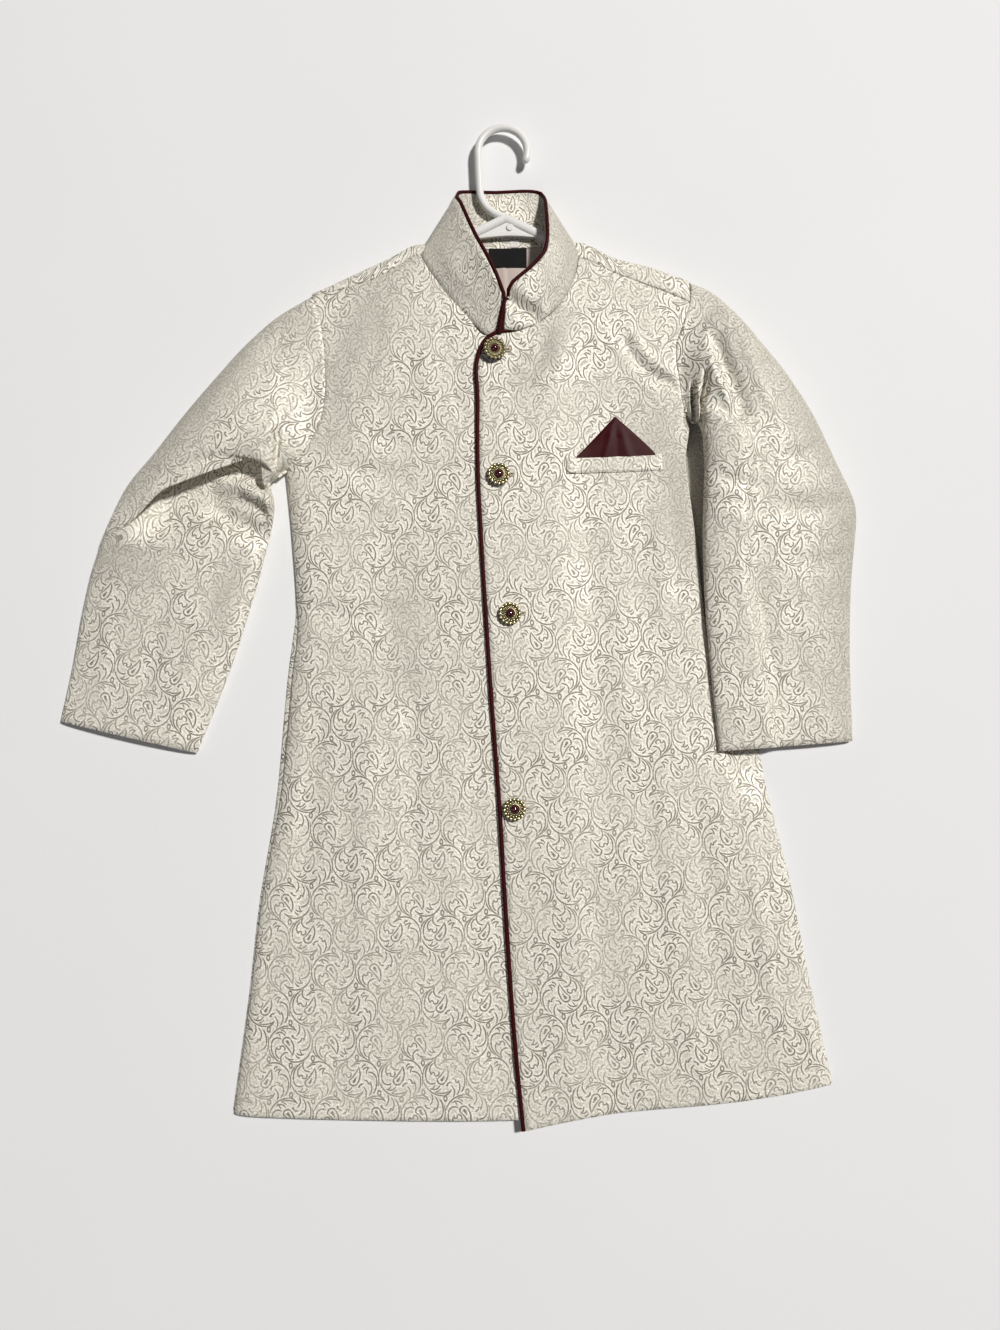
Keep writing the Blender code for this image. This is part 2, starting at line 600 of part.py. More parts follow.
def front_edge_line():
    """Middle of the piping on the over front, from the hem round the top corner."""
    stops = np.concatenate([np.arange(0, 8, 0.5), np.arange(8, FRONT_EDGE_END + 0.01, 0.34)])
    edge = np.array([section(OVER_FRONT, t)[:2] for t in stops])
    along = np.gradient(edge, axis=0)
    along /= np.linalg.norm(along, axis=1, keepdims=True)
    away = np.stack([-along[:, 1], along[:, 0]], axis=1)
    line = edge + away * (EDGE_PIPING[0] + GAP)
    z = body_height(line[:, 0], line[:, 1]) + GAP + EDGE_PIPING[1]
    return np.column_stack([line, z])


def plate(name, x, y, bottom, top, finish, columns=6, rows=1):
    """Flat or bent plate between two faces given by heights or by height rules."""
    xs = np.linspace(x[0], x[1], columns + 1)
    ys = np.linspace(y[0], y[1], rows + 1)
    grid_x, grid_y = np.meshgrid(xs, ys)
    return slab(name, grid_x, grid_y, bottom, top, finish)


def slab(name, grid_x, grid_y, bottom, top, finish):
    """Plate over a grid of plan points."""
    low = bottom(grid_x, grid_y) if callable(bottom) else np.full(grid_x.shape, bottom)
    high = top(grid_x, grid_y) if callable(top) else np.full(grid_x.shape, top)
    rows, columns = grid_x.shape
    count = rows * columns
    verts = np.concatenate([np.stack([grid_x, grid_y, z], axis=2).reshape(-1, 3) for z in (high, low)])
    faces = []
    for i in range(rows - 1):
        for j in range(columns - 1):
            a = i * columns + j
            faces.append((a, a + 1, a + columns + 1, a + columns))
            faces.append(tuple(count + k for k in (a + columns, a + columns + 1, a + 1, a)))
    rim = [range(columns), range((rows - 1) * columns, count),
           range(0, count, columns), range(columns - 1, count, columns)]
    for line in rim:
        for a, b in zip(line, line[1:]):
            faces.append((a, b, count + b, count + a))
    return add_object(name, verts, faces, finish)


def turned_plate(name, sizes, finish):
    """Small rectangular tab, turned in the plane."""
    half_x, half_y = sizes["size"][0] / 2, sizes["size"][1] / 2
    turn = math.radians(sizes["turn"])
    across, up = np.meshgrid((-half_x, 0, half_x), (-half_y, half_y))
    x = sizes["centre"][0] + across * math.cos(turn) - up * math.sin(turn)
    y = sizes["centre"][1] + across * math.sin(turn) + up * math.cos(turn)
    return slab(name, x, y, sizes["bottom"], sizes["top"], finish)


def pocket(finish, silk):
    """Breast welt, and the folded square that stands out of it."""
    low, high = WELT["y"] - WELT["height"] / 2, WELT["y"] + WELT["height"] / 2
    lift = 2 * GAP
    plate("pocket_welt", WELT["x"], (low, high),
          lambda x, y: over_height(x, y) + lift,
          lambda x, y: over_height(x, y) + lift + WELT["wall"], finish, columns=8, rows=2)
    x = np.linspace(*SQUARE["x"], 9)
    rise = np.where(x < SQUARE["peak_x"],
                    (x - SQUARE["x"][0]) / (SQUARE["peak_x"] - SQUARE["x"][0]),
                    (SQUARE["x"][1] - x) / (SQUARE["x"][1] - SQUARE["peak_x"]))
    base = high + GAP
    grid_x = np.stack([x, x, x])
    grid_y = np.stack([np.full(9, base), base + 0.5 + SQUARE["peak"] * rise * 0.5,
                       base + 1.0 + SQUARE["peak"] * rise])
    slab("pocket_square", grid_x, grid_y,
         lambda gx, gy: over_height(gx, gy) + lift,
         lambda gx, gy: over_height(gx, gy) + lift + SQUARE["wall"], silk)


def hanger(plastic):
    """Moulded hanger: arms, web and hook joined into one body."""
    arms = np.array([(x, y, HANGER_Z) for x, y in HANGER_ARMS])
    body = tube("hanger", arms, HANGER_ARM[0], HANGER_ARM[1], plastic, sides=8)
    outline = np.array(HANGER_WEB, float)
    lower, upper = outline[:3], outline[:2:-1]
    web = slab("web_cutter", np.stack([lower[:, 0], upper[:, 0]]), np.stack([lower[:, 1], upper[:, 1]]),
               HANGER_Z - WEB_THICKNESS / 2, HANGER_Z + WEB_THICKNESS / 2, plastic)
    turn = np.radians(np.linspace(180, -30, 12))
    loop = np.stack([HOOK_CENTRE[0] + HOOK_LOOP * np.cos(turn),
                     HOOK_CENTRE[1] + HOOK_LOOP * np.sin(turn), np.full(12, 9.4)], axis=1)
    hook = tube("hook_cutter", np.concatenate([HOOK_STEM, loop]), HOOK_BAR, HOOK_BAR, plastic, sides=8)
    for joined in (web, hook):
        union = body.modifiers.new(joined.name, "BOOLEAN")
        union.operation = "UNION"
        union.object = joined
        joined.hide_render = True
        joined.display_type = "WIRE"


# ---------------------------------------------------------------- the coat

def build():
    for old in list(bpy.data.objects):
        bpy.data.objects.remove(old, do_unlink=True)
    brocade = material("ivory_brocade", (0.66, 0.60, 0.51), 0.55)
    maroon = material("maroon_satin", (0.09, 0.006, 0.010), 0.5)
    pink = material("pink_lining", (0.52, 0.40, 0.35), 0.6)
    gilt = material("antique_gilt", (0.42, 0.36, 0.13), 0.35, metallic=1.0)
    stone = material("garnet_stone", (0.05, 0.004, 0.008), 0.15)
    black = material("black_label", (0.012, 0.012, 0.013), 0.7)
    white = material("white_plastic", (0.80, 0.81, 0.82), 0.35)

    walled("back_panel", back_grid(), WALL, brocade, facing=-1)
    under_stops = np.concatenate([np.arange(0, 8), np.arange(8, 17.1, 0.5)])
    over_stops = np.concatenate([np.arange(0, 4), (3.25, 3.5), np.arange(4, 8),
                                 np.arange(8, 9.6, 0.5), np.arange(9.75, 11, 0.25), np.arange(11, 19.1, 0.5)])
    under = front_grid(UNDER_FRONT, -1, body_height, 8, under_stops)
    over = front_grid(OVER_FRONT, 1, over_height, 14, over_stops)
    over[:, :, 2] += creases("front_over", over[:, :, 0], over[:, :, 1])
    walled("front_under", under, WALL, brocade, facing=-1, lowest=FLOOR_TOP)
    walled("front_over", over, WALL, brocade, lowest=FLOOR_TOP)
    sleeve = sleeve_grid("sleeve_right", RIGHT_SLEEVE, -1, 1)
    walled("sleeve_right", sleeve, WALL, brocade, facing=-1, ring=True, lowest=WALL)
    sleeve = sleeve_grid("sleeve_left", LEFT_SLEEVE, 1, 2)
    walled("sleeve_left", sleeve, WALL, brocade, ring=True, lowest=WALL)
    walled("collar_band", collar_grid(2), COLLAR_WALL, brocade)

    edge = collar_edge_line()
    width = np.full(len(edge), PIPING)
    width[-len(COLLAR_END):] = COLLAR_END_WIDTH
    tube("collar_piping", edge, width, PIPING, maroon, sides=6)
    line = front_edge_line()
    length = np.concatenate([[0], np.cumsum(np.linalg.norm(np.diff(line, axis=0), axis=1))])
    thin = 0.3 + 0.7 * ease((length[-1] - length) / TAPER)
    tube("front_piping", line, EDGE_PIPING[0] * thin, EDGE_PIPING[1] * thin, maroon, sides=6)
    pocket(brocade, maroon)
    for number, (x, y, tilt) in enumerate(BUTTONS, start=1):
        lift = BUTTON_STAND + 9.75 * math.sin(math.radians(tilt))
        centre = (x, y, float(over_height(x, y)) + lift)
        turned(f"button_{number}", BUTTON, centre, tilt, gilt, sides=18)
        turned(f"button_stone_{number}", STONE, centre, tilt, stone, sides=12)

    plate("back_lining", LINING["x"], LINING["y"], LINING["bottom"], LINING["top"], pink)
    plate("back_neck_facing", FACING["x"], FACING["y"], FACING["bottom"], FACING["top"], brocade)
    turned_plate("neck_label", LABEL, black)
    turned_plate("size_tab", SIZE_TAB, white)
    hanger(white)


build()
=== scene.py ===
"""Child's sherwani coat, laid flat on its back: cloth shells, trim and materials round the frame.

Sizes are in millimetres in the coat's own layout (x = 0 centre line, y = 0 at the hip, z up from
the surface) and are moved by ORIGIN and scaled by MM when a mesh is made.
"""
import math

import bmesh
import bpy
import numpy as np
from mathutils import Matrix, Vector


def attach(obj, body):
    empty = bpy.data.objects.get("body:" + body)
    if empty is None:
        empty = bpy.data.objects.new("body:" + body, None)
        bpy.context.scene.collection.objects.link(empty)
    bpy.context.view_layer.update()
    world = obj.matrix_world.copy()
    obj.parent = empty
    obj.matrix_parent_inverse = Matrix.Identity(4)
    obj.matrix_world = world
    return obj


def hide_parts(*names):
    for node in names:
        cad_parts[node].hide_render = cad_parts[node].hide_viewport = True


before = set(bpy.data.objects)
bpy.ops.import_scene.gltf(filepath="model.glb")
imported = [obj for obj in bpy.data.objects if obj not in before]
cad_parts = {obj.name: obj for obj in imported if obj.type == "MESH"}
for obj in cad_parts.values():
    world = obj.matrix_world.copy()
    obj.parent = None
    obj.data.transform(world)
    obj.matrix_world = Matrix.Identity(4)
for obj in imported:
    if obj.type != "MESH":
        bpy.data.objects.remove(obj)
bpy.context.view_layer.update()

MM = 0.001
ORIGIN = (-47.8, 43.1)

# ------------------------------------------------------------------ camera, floor and light

FOCAL = 1000.0              # focal length, where the frame is FRAME_HEIGHT high
FRAME_HEIGHT = 1330.0
SENSOR = 36.0
CAMERA = {"height": 877.0, "tilt": 3.05, "roll": -2.3, "offset": 13.8}


def placed(name, data):
    """Object made from its data and put in the scene."""
    made = bpy.data.objects.new(name, data)
    bpy.context.collection.objects.link(made)
    return made


def make_camera():
    """Camera above the coat, tilted a little towards the hem and rolled with the coat."""
    roll = Matrix.Rotation(math.radians(CAMERA["roll"]), 3, "Z")
    turn = roll @ Matrix.Rotation(math.radians(CAMERA["tilt"]), 3, "X")
    place = turn.col[2] * (CAMERA["height"] / turn.col[2].z)
    place.x -= CAMERA["offset"] + ORIGIN[0]
    place.y -= ORIGIN[1]
    data = bpy.data.cameras.new("camera")
    data.sensor_width = SENSOR
    data.lens = SENSOR * FOCAL / FRAME_HEIGHT
    camera = placed("camera", data)
    camera.matrix_world = Matrix.Translation(place * MM) @ turn.to_4x4()
    bpy.context.scene.camera = camera


def area_light(name, place, aim, size, power, colour):
    """Soft square panel that points at a place."""
    data = bpy.data.lights.new(name, "AREA")
    data.shape = "RECTANGLE"
    data.size = data.size_y = size
    data.energy = power
    data.color = colour
    facing = (Vector(place) - Vector(aim)).to_track_quat("Z", "Y").to_matrix().to_4x4()
    placed(name, data).matrix_world = Matrix.Translation(place) @ facing


def make_light():
    """Key from beyond the collar and the left sleeve, a soft panel over the hem and a weak even sky."""
    area_light("key", (4.9, 3.4, 8.2), (0.0, -0.05, 0.0), 1.1, 1050.0, (1.0, 0.98, 0.96))
    area_light("canopy", (-0.7, -0.5, 1.8), (-0.25, -0.25, 0.0), 1.0, 2.6, (0.99, 0.99, 1.0))
    world = bpy.data.worlds.new("studio")
    world.use_nodes = True
    sky = world.node_tree.nodes["Background"]
    sky.inputs["Color"].default_value = (0.93, 0.96, 1.0, 1.0)
    sky.inputs["Strength"].default_value = 0.06
    bpy.context.scene.world = world
    bpy.context.scene.view_settings.view_transform = "Standard"


# ------------------------------------------------------------------ curves through tables

def glide(table_x, table_y, x):
    """Smooth curve through a table that never swings past its points."""
    xs = np.asarray(table_x, float)
    ys = np.asarray(table_y, float)
    step = np.diff(xs)
    rise = np.diff(ys) / step
    same = rise[:-1] * rise[1:] > 0
    total = np.where(same, rise[:-1] + rise[1:], 1.0)
    middle = np.where(same, 2 * rise[:-1] * rise[1:] / total, 0.0)
    slope = np.concatenate([rise[:1], middle, rise[-1:]])
    at = np.clip(x, xs[0], xs[-1])
    i = np.clip(np.searchsorted(xs, at, side="right") - 1, 0, len(xs) - 2)
    t = (at - xs[i]) / step[i]
    start = (1 + 2 * t) * (1 - t) ** 2 * ys[i] + t * (1 - t) ** 2 * step[i] * slope[i]
    end = t * t * (3 - 2 * t) * ys[i + 1] + t * t * (t - 1) * step[i] * slope[i + 1]
    return start + end


def ease(t):
    """Smooth step from 0 to 1."""
    t = np.clip(t, 0.0, 1.0)
    return t * t * (3 - 2 * t)


def section(rows, t):
    """All columns of a table of sections, at a place t counted in rows."""
    rows = np.asarray(rows, float)
    return np.array([glide(np.arange(len(rows)), column, t) for column in rows.T])


def unit(vectors):
    """Vectors scaled to length 1."""
    return vectors / np.maximum(np.linalg.norm(vectors, axis=-1, keepdims=True), 1e-9)


def run_length(path):
    """Length along a path, or along each column of a grid, up to each of its points."""
    steps = np.linalg.norm(np.diff(path, axis=0), axis=-1)
    return np.concatenate([np.zeros_like(steps[:1]), np.cumsum(steps, axis=0)])


def lattice(across, along):
    """Even grids of two values, each from (first, last, count)."""
    return np.meshgrid(np.linspace(*across), np.linspace(*along))


# ------------------------------------------------------------------ outline and height of the body

WALL = 1.4                  # brocade with its lining
COLLAR_WALL = 2.0           # the same two layers over a stiff interfacing
GAP = 0.3                   # between pieces that lie on each other
SEAM = 0.03                 # and between pieces sewn edge to edge
SEAM_DIP = 0.45             # how deep a seam draws the cloth in
SHOULDER_LAP = 0.5          # front carried under the back's turned edge
SHOULDER_SINK = 1.1         # and how far below it
FLOOR_TOP = WALL + GAP
LAP = 2.5                   # rise of the over front where it lies on the under front
LAP_END = (76, 40)          # x where that rise ends, and the width over which it does

SIDE = {
    "y": (-372, -335, -273, -200, -106, -50, 0, 30, 60, 117, 178),
    "x": (257, 250.6, 240.3, 230, 211.8, 205, 199, 194, 190, 192, 196),
}
ARMHOLE = {
    "right_y": (178, 186, 196, 208, 220, 235, 254, 279, 304, 320, 331),
    "right_x": (196, 187.5, 177, 169, 163.5, 159, 157, 157, 159.3, 163, 166),
    "left_y": (178, 192, 203, 210, 215, 222, 236, 247, 260, 274, 284, 300, 312),
    "left_x": (196, 190, 178, 166, 159, 156, 154.4, 153.3, 151.9, 152, 155.7, 161.8, 166),
}
SHOULDER = {
    "x": (-168, -122, -97, -71, 71, 103, 124, 147, 168),
    "fold": (334, 353.9, 364.6, 376, 372, 356, 350, 341.8, 333),
    "seam": (330.5, 340, 350.3, 363.5, 355, 339.8, 331, 321.5, 311.5),
}
UNDERARM_X, UNDERARM = SIDE["x"][-1], SIDE["y"][-1]
NECK_BACK = 381.0           # level of the back's top edge in the neck
NECK_TURN = (57.0, 65.0)
ROLL = 8.0
CROWN = {
    "y": (-400, -300, -150, 0, 120, 200, 260, 300, 340, 380),
    "z": (7.4, 8.0, 8.8, 9.0, 9.8, 11.5, 14, 15.5, 16.2, 16.2),
}
SLIT = {"y": (-350, -230, -170, -60, 20, 35, 60), "inset": (0.8, 1.0, 1.6, 3.6, 3.6, 3.0, 0)}
SIDE_ROUND = 17.0
VALLEY = {
    "y": (-125, -95, -60, 20, 60, 88, 107, 126, 145, 163, 173, 183, 192, 201, 210, 217, 228, 236),
    "x": (200, 184, 177, 168.5, 165.4, 163.8, 162.2, 160.6, 158.9, 157.2, 157.0, 158.2, 160.1, 161.6, 162.2,
          162.6, 163.6, 165),
    "width": (30, 16, 8, 5, 3, 2.4, 2.4, 2.4, 2.4, 2.4, 2.4, 2.4, 2.4, 2.4, 2.4, 2.4, 3, 6),
}
VALLEY_LOW = (-135, 35)     # level of its lower end, and the length over which it deepens
VALLEY_HIGH = (244, 14)     # and the same at its upper end
VALLEY_FLOOR = 2.6
VALLEY_STEPS = (-2.6, -1.7, -1.1, -0.6, 0.0, 0.6, 1.1, 1.7)


def side_x(y):
    return glide(SIDE["y"], SIDE["x"], y)


def valley_x(y):
    return glide(VALLEY["y"], VALLEY["x"], y)


def shoulder(line, x):
    """Level of the shoulder's fold or seam."""
    return glide(SHOULDER["x"], SHOULDER[line], x)


def armhole_x(y, side):
    """Half width of the body at a level; side is -1 for the wearer's right, 1 for the left."""
    name = "right" if side < 0 else "left"
    return np.where(y <= UNDERARM, side_x(y), glide(ARMHOLE[name + "_y"], ARMHOLE[name + "_x"], y))


def body_height(x, y, side_inset=0.0):
    """Outer face of the lower layer of the fronts, above the surface."""
    below = np.maximum(side_x(y) - side_inset - np.abs(x), 0.0)
    above = np.hypot(np.maximum(y - UNDERARM, 0.0), np.maximum(UNDERARM_X - np.abs(x), 0.0))
    inset = np.where(y > UNDERARM, above, below)
    dome = np.sqrt(1 - (1 - np.clip(inset / SIDE_ROUND, 0, 1)) ** 2)
    crown = glide(CROWN["y"], CROWN["z"], y)
    in_valley = ease((x - valley_x(y)) / glide(VALLEY["y"], VALLEY["width"], y) + 0.5)
    in_valley = in_valley * ease((y - VALLEY_LOW[0]) / VALLEY_LOW[1])
    in_valley = in_valley * ease((VALLEY_HIGH[0] - y) / VALLEY_HIGH[1])
    crown = crown + (np.minimum(crown, VALLEY_FLOOR) - crown) * in_valley
    return FLOOR_TOP + (crown - FLOOR_TOP) * dome


def over_height(x, y, side_inset=0.0):
    """Outer face of the over front, which rides on the under front along the centre."""
    return body_height(x, y, side_inset) + LAP * ease((LAP_END[0] - x) / LAP_END[1])


# ------------------------------------------------------------------ creases

# Points along each crease, half width, rise (down if negative)
CREASES = {
    "front_over": (
        (((108, 282), (112, 268), (122, 255.5), (134, 246.5), (150, 238.5), (180, 222)), 5.5, -2.8),
        (((110, 294), (119, 276), (129, 263.5), (140, 255), (154, 247), (176, 236)), 6.5, 2.0),
        (((92, 284), (106, 262), (122, 241), (138, 230)), 8.0, 0.8),
        (((40, 292), (34, 268), (20, 245), (0, 233)), 9.0, -1.0),
        (((52, 296), (50, 262), (38, 232), (18, 210)), 10.0, 0.8),
        (((6, 268), (24, 262), (44, 262)), 4.0, -0.8),
        (((6, 278), (22, 276), (38, 279)), 3.5, -0.7),
        (((4, 262), (14, 250), (30, 244)), 4.0, -0.6),
        (((10, 160), (32, 156), (52, 158)), 5.0, -0.5),
        (((4, 44), (26, 40), (50, 44)), 6.0, -0.5),
        (((60, 150), (70, 90), (66, 30)), 22.0, -1.0),
        (((128, 150), (132, 90), (128, 20)), 16.0, 1.3),
        (((98, 60), (92, -20), (104, -110)), 20.0, 1.1),
        (((150, -120), (158, -210), (168, -320)), 18.0, -1.8),
        (((112, -60), (108, -160), (116, -280)), 16.0, -1.2),
        (((192, -150), (204, -250), (214, -340)), 13.0, 1.4),
        (((52, -160), (62, -250), (60, -350)), 20.0, -1.1),
        (((134, -300), (140, -340), (150, -376)), 12.0, 1.6),
        (((26, -310), (30, -350), (28, -390)), 12.0, 1.0),
    ),
    "front_under": (
        (((-150, 190), (-120, 170), (-86, 166)), 12.0, -1.4),
        (((-152, 168), (-118, 146), (-78, 140)), 12.0, 1.0),
        (((-128, 214), (-96, 196), (-66, 196)), 12.0, -0.9),
        (((-186, 60), (-140, 44), (-96, 52)), 11.0, -1.5),
        (((-188, 38), (-150, 22), (-112, 26)), 10.0, 0.9),
        (((-110, 320), (-112, 280), (-130, 240)), 12.0, -0.9),
        (((-60, 300), (-70, 260), (-66, 220)), 14.0, 0.8),
        (((-40, 270), (-44, 240), (-36, 208)), 9.0, -0.7),
        (((-172, -20), (-182, -120), (-196, -230)), 16.0, -1.8),
        (((-128, -30), (-134, -130), (-142, -260)), 18.0, 1.5),
        (((-90, 0), (-94, -110), (-96, -230)), 18.0, -1.4),
        (((-56, -60), (-60, -170), (-62, -300)), 16.0, 0.9),
        (((-214, -180), (-222, -270), (-232, -350)), 12.0, -1.2),
        (((-158, -280), (-166, -330), (-172, -376)), 14.0, -1.4),
        (((-30, -270), (-34, -330), (-30, -384)), 16.0, -1.0),
    ),
    "collar_band": (
        (((2, 322), (12, 314), (24, 306), (34, 303)), 10.0, -6.0),
        (((-50, 372), (-40, 345), (-24, 322)), 12.0, 1.0),
        (((52, 380), (58, 350), (44, 325)), 12.0, 1.0),
    ),
    "sleeve_left": (
        (((184, 284), (190, 258), (197, 234), (206, 204)), 11.0, -7.0),
        (((208, 288), (214, 256), (222, 230), (232, 204)), 12.0, 2.5),
        (((178, 262), (186, 236), (194, 214)), 8.0, 2.2),
        (((164.7, 240), (164.4, 228), (164.2, 214), (164.4, 198)), 3.0, -13.0),
        (((167.6, 238), (167.2, 226), (167.5, 214), (169.5, 200), (171, 188)), 1.8, 2.5),
        (((176.4, 250), (174.4, 236), (171.5, 224.5), (169.4, 212), (168.4, 196)), 3.2, -14.0),
        (((178, 232), (190, 226), (204, 221)), 9.0, 2.0),
        (((180, 214), (196, 206), (214, 204)), 7.0, -2.0),
        (((176, 296), (186, 306), (196, 300)), 8.0, -1.2),
        (((240, 284), (254, 262), (266, 240)), 7.0, -1.6),
        (((286, 190), (262, 172), (236, 166)), 11.0, -2.4),
        (((296, 160), (270, 146), (238, 140)), 11.0, 1.6),
        (((298, 130), (268, 122), (230, 126)), 12.0, -2.2),
        (((172, 158), (200, 146), (226, 142)), 10.0, -2.0),
        (((170, 128), (196, 116), (224, 112)), 10.0, 1.3),
        (((296, 84), (268, 76), (240, 80)), 9.0, -1.2),
        (((214, 70), (218, 20), (222, -50)), 12.0, -1.2),
        (((254, 60), (258, 0), (258, -60)), 13.0, 1.2),
    ),
    "sleeve_right": (
        (((-186, 300), (-206, 270), (-222, 236)), 14.0, -1.6),
        (((-170, 282), (-190, 240), (-206, 206)), 12.0, 1.6),
        (((-214, 292), (-240, 256), (-262, 226)), 10.0, 1.2),
        (((-204, 212), (-250, 200), (-306, 178)), 9.0, 1.8),
        (((-222, 192), (-262, 186), (-310, 164)), 7.0, -1.0),
        (((-264, 147), (-247, 138), (-227, 127), (-206, 118)), 13.5, -8.5),
        (((-258, 169), (-232, 164), (-216, 155), (-200, 136)), 9.5, 15.5),
        (((-197, 214), (-199, 202), (-201, 188), (-203, 176)), 4.0, -7.0),
        (((-240, 188), (-222, 196), (-206, 206), (-198, 214)), 8.0, 3.2),
        (((-352, 112), (-320, 104), (-280, 110)), 9.0, -1.6),
        (((-358, 92), (-320, 82), (-286, 88)), 9.0, 1.2),
        (((-300, 70), (-312, 30), (-326, -26)), 13.0, -1.4),
        (((-266, 50), (-282, 10), (-298, -40)), 12.0, 1.1),
        (((-350, 60), (-356, 20), (-362, -24)), 10.0, 1.0),
    ),
}


# Painted shade: where the cloth is painted darker and its medallions fainter, standing for shade and for the
# satin losing its sheen where the cloth turns from the light, on the collar and in the hollow beside the left
# sleeve; in the same form: path, half width and how much
PAINTED_SHADE = {
    "collar_band_cloth": (
        (((-20, 440), (-48, 400), (-62, 360), (-40, 310)), 34.0, 0.9),
        (((30, 440), (55, 400), (66, 360), (46, 290)), 30.0, 0.9),
    ),
    "front_under_cloth": (
        (((-60, 400), (-110, 330), (-150, 240), (-160, 180)), 42.0, 0.7),
        (((-90, 120), (-94, 60), (-92, 0), (-98, -40)), 28.0, 0.4),
    ),
    "front_over_cloth": (
        (((60, 320), (40, 270), (0, 240)), 24.0, 0.6),
        (((110, 250), (150, 150), (150, 60)), 40.0, 0.7),
        (((166, 290), (165, 220), (168, 150), (170, 90), (172, -30)), 12.0, 1.0),
    ),
    "sleeve_left_cloth": (
        (((170, 370), (250, 256), (303, 150), (300, 40), (288, -120)), 60.0, 1.0),
    ),
    "sleeve_right_cloth": (
        (((-170, 340), (-240, 268), (-300, 205), (-340, 150)), 44.0, 0.9),
        (((-375, 120), (-345, 104), (-300, 92)), 26.0, 0.8),
        (((-230, 110), (-250, 70), (-262, 20)), 22.0, 0.7),
    ),
}


def creases(name, x, y, table=CREASES):
    """Rise of a panel's own folds at plan points, fading out at both ends of each fold."""
    rise = np.zeros(np.shape(x))
    for path, half_width, height in table.get(name, ()):
        nearest = np.full(np.shape(x), np.inf)
        along = np.zeros(np.shape(x))
        points = np.array(path, float)
        for k, (start, end) in enumerate(zip(points, points[1:])):
            step = end - start
            t = ((x - start[0]) * step[0] + (y - start[1]) * step[1]) / (step @ step)
            t = np.clip(t, 0, 1)
            distance = np.hypot(x - start[0] - t * step[0], y - start[1] - t * step[1])
            along = np.where(distance < nearest, (k + t) / (len(points) - 1), along)
            nearest = np.minimum(nearest, distance)
        fade = np.sqrt(np.clip(4 * along * (1 - along), 0, 1))
        rise = rise + height * fade * ease(1 - nearest / half_width)
    return rise


WAVES = (150.0, 96.0, 61.0, 38.0)       # lengths of the slack cloth's waves


def slack(x, y, amount, seed):
    """Small uneven waves of cloth that isn't pulled tight."""
    draw = np.random.default_rng(seed)
    total = np.zeros(np.shape(x))
    for length in WAVES:
        angle, phase = draw.uniform(0, math.pi), draw.uniform(0, 2 * math.pi)
        bend = draw.uniform(0.2, 0.5) * np.sin((x * math.sin(angle) - y * math.cos(angle)) / length)
        wave = np.sin(2 * math.pi * (x * math.cos(angle) + y * math.sin(angle)) / length + phase + bend)
        total = total + wave * length / WAVES[0]
    return amount * total / 2.0


# ------------------------------------------------------------------ making meshes

def to_world(points):
    return (np.asarray(points, float) - (*ORIGIN, 0.0)) * MM


def finish_mesh(name, verts, faces, finishes, indices=None, uv=None, sharp=None):
    """Object from layout points; indices choose the finish of each face, uv is per point or corner."""
    mesh = bpy.data.meshes.new(name)
    mesh.from_pydata(to_world(verts).tolist(), [], faces)
    if indices is not None:
        mesh.polygons.foreach_set("material_index", indices)
    if uv is not None:
        layer = mesh.uv_layers.new(name="weave")
        uv = np.asarray(uv, float)
        if len(uv) == len(mesh.vertices):
            loops = np.empty(len(mesh.loops), np.int32)
            mesh.loops.foreach_get("vertex_index", loops)
            uv = uv[loops]
        layer.data.foreach_set("uv", (uv * MM).ravel())
    shaped = bmesh.new()
    shaped.from_mesh(mesh)
    bmesh.ops.recalc_face_normals(shaped, faces=shaped.faces)
    shaped.to_mesh(mesh)
    shaped.free()
    # Painted shade: point attribute from the table above, read by the brocade to darken the cloth and fade
    # its medallions
    if name in PAINTED_SHADE:
        x, y = np.asarray(verts, float)[:, :2].T
        painted_shade = mesh.attributes.new("painted_shade", "FLOAT", "POINT")
        painted_shade.data.foreach_set("value", np.clip(creases(name, x, y, PAINTED_SHADE), 0, 1))
    mesh.shade_smooth()
    if sharp:
        mesh.set_sharp_from_angle(angle=math.radians(sharp))
    for finish in finishes:
        mesh.materials.append(finish)
    made = placed(name, mesh)
    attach(made, "root")
    return made


def grid_normals(grid, ring=False):
    """Unit normals of a grid of points (rows, columns, xyz)."""
    across = np.roll(grid, -1, axis=1) - np.roll(grid, 1, axis=1) if ring else np.gradient(grid, axis=1)
    return unit(np.cross(across, np.gradient(grid, axis=0)))


def rim_lines(rows, columns, ring):
    """Places along a grid's free edges: one closed line, or one at each end of a ring."""
    if ring:
        return [[(i, j) for j in range(columns + 1)] for i in (0, rows - 1)]
    return [[(0, j) for j in range(columns)] + [(i, columns - 1) for i in range(1, rows)]
            + [(rows - 1, j) for j in range(columns - 2, -1, -1)] + [(i, 0) for i in range(rows - 2, -1, -1)]]


EDGE_BULGE = 0.35           # roundness of a turned edge, as a share of the wall
EDGE_LOWEST = 0.05


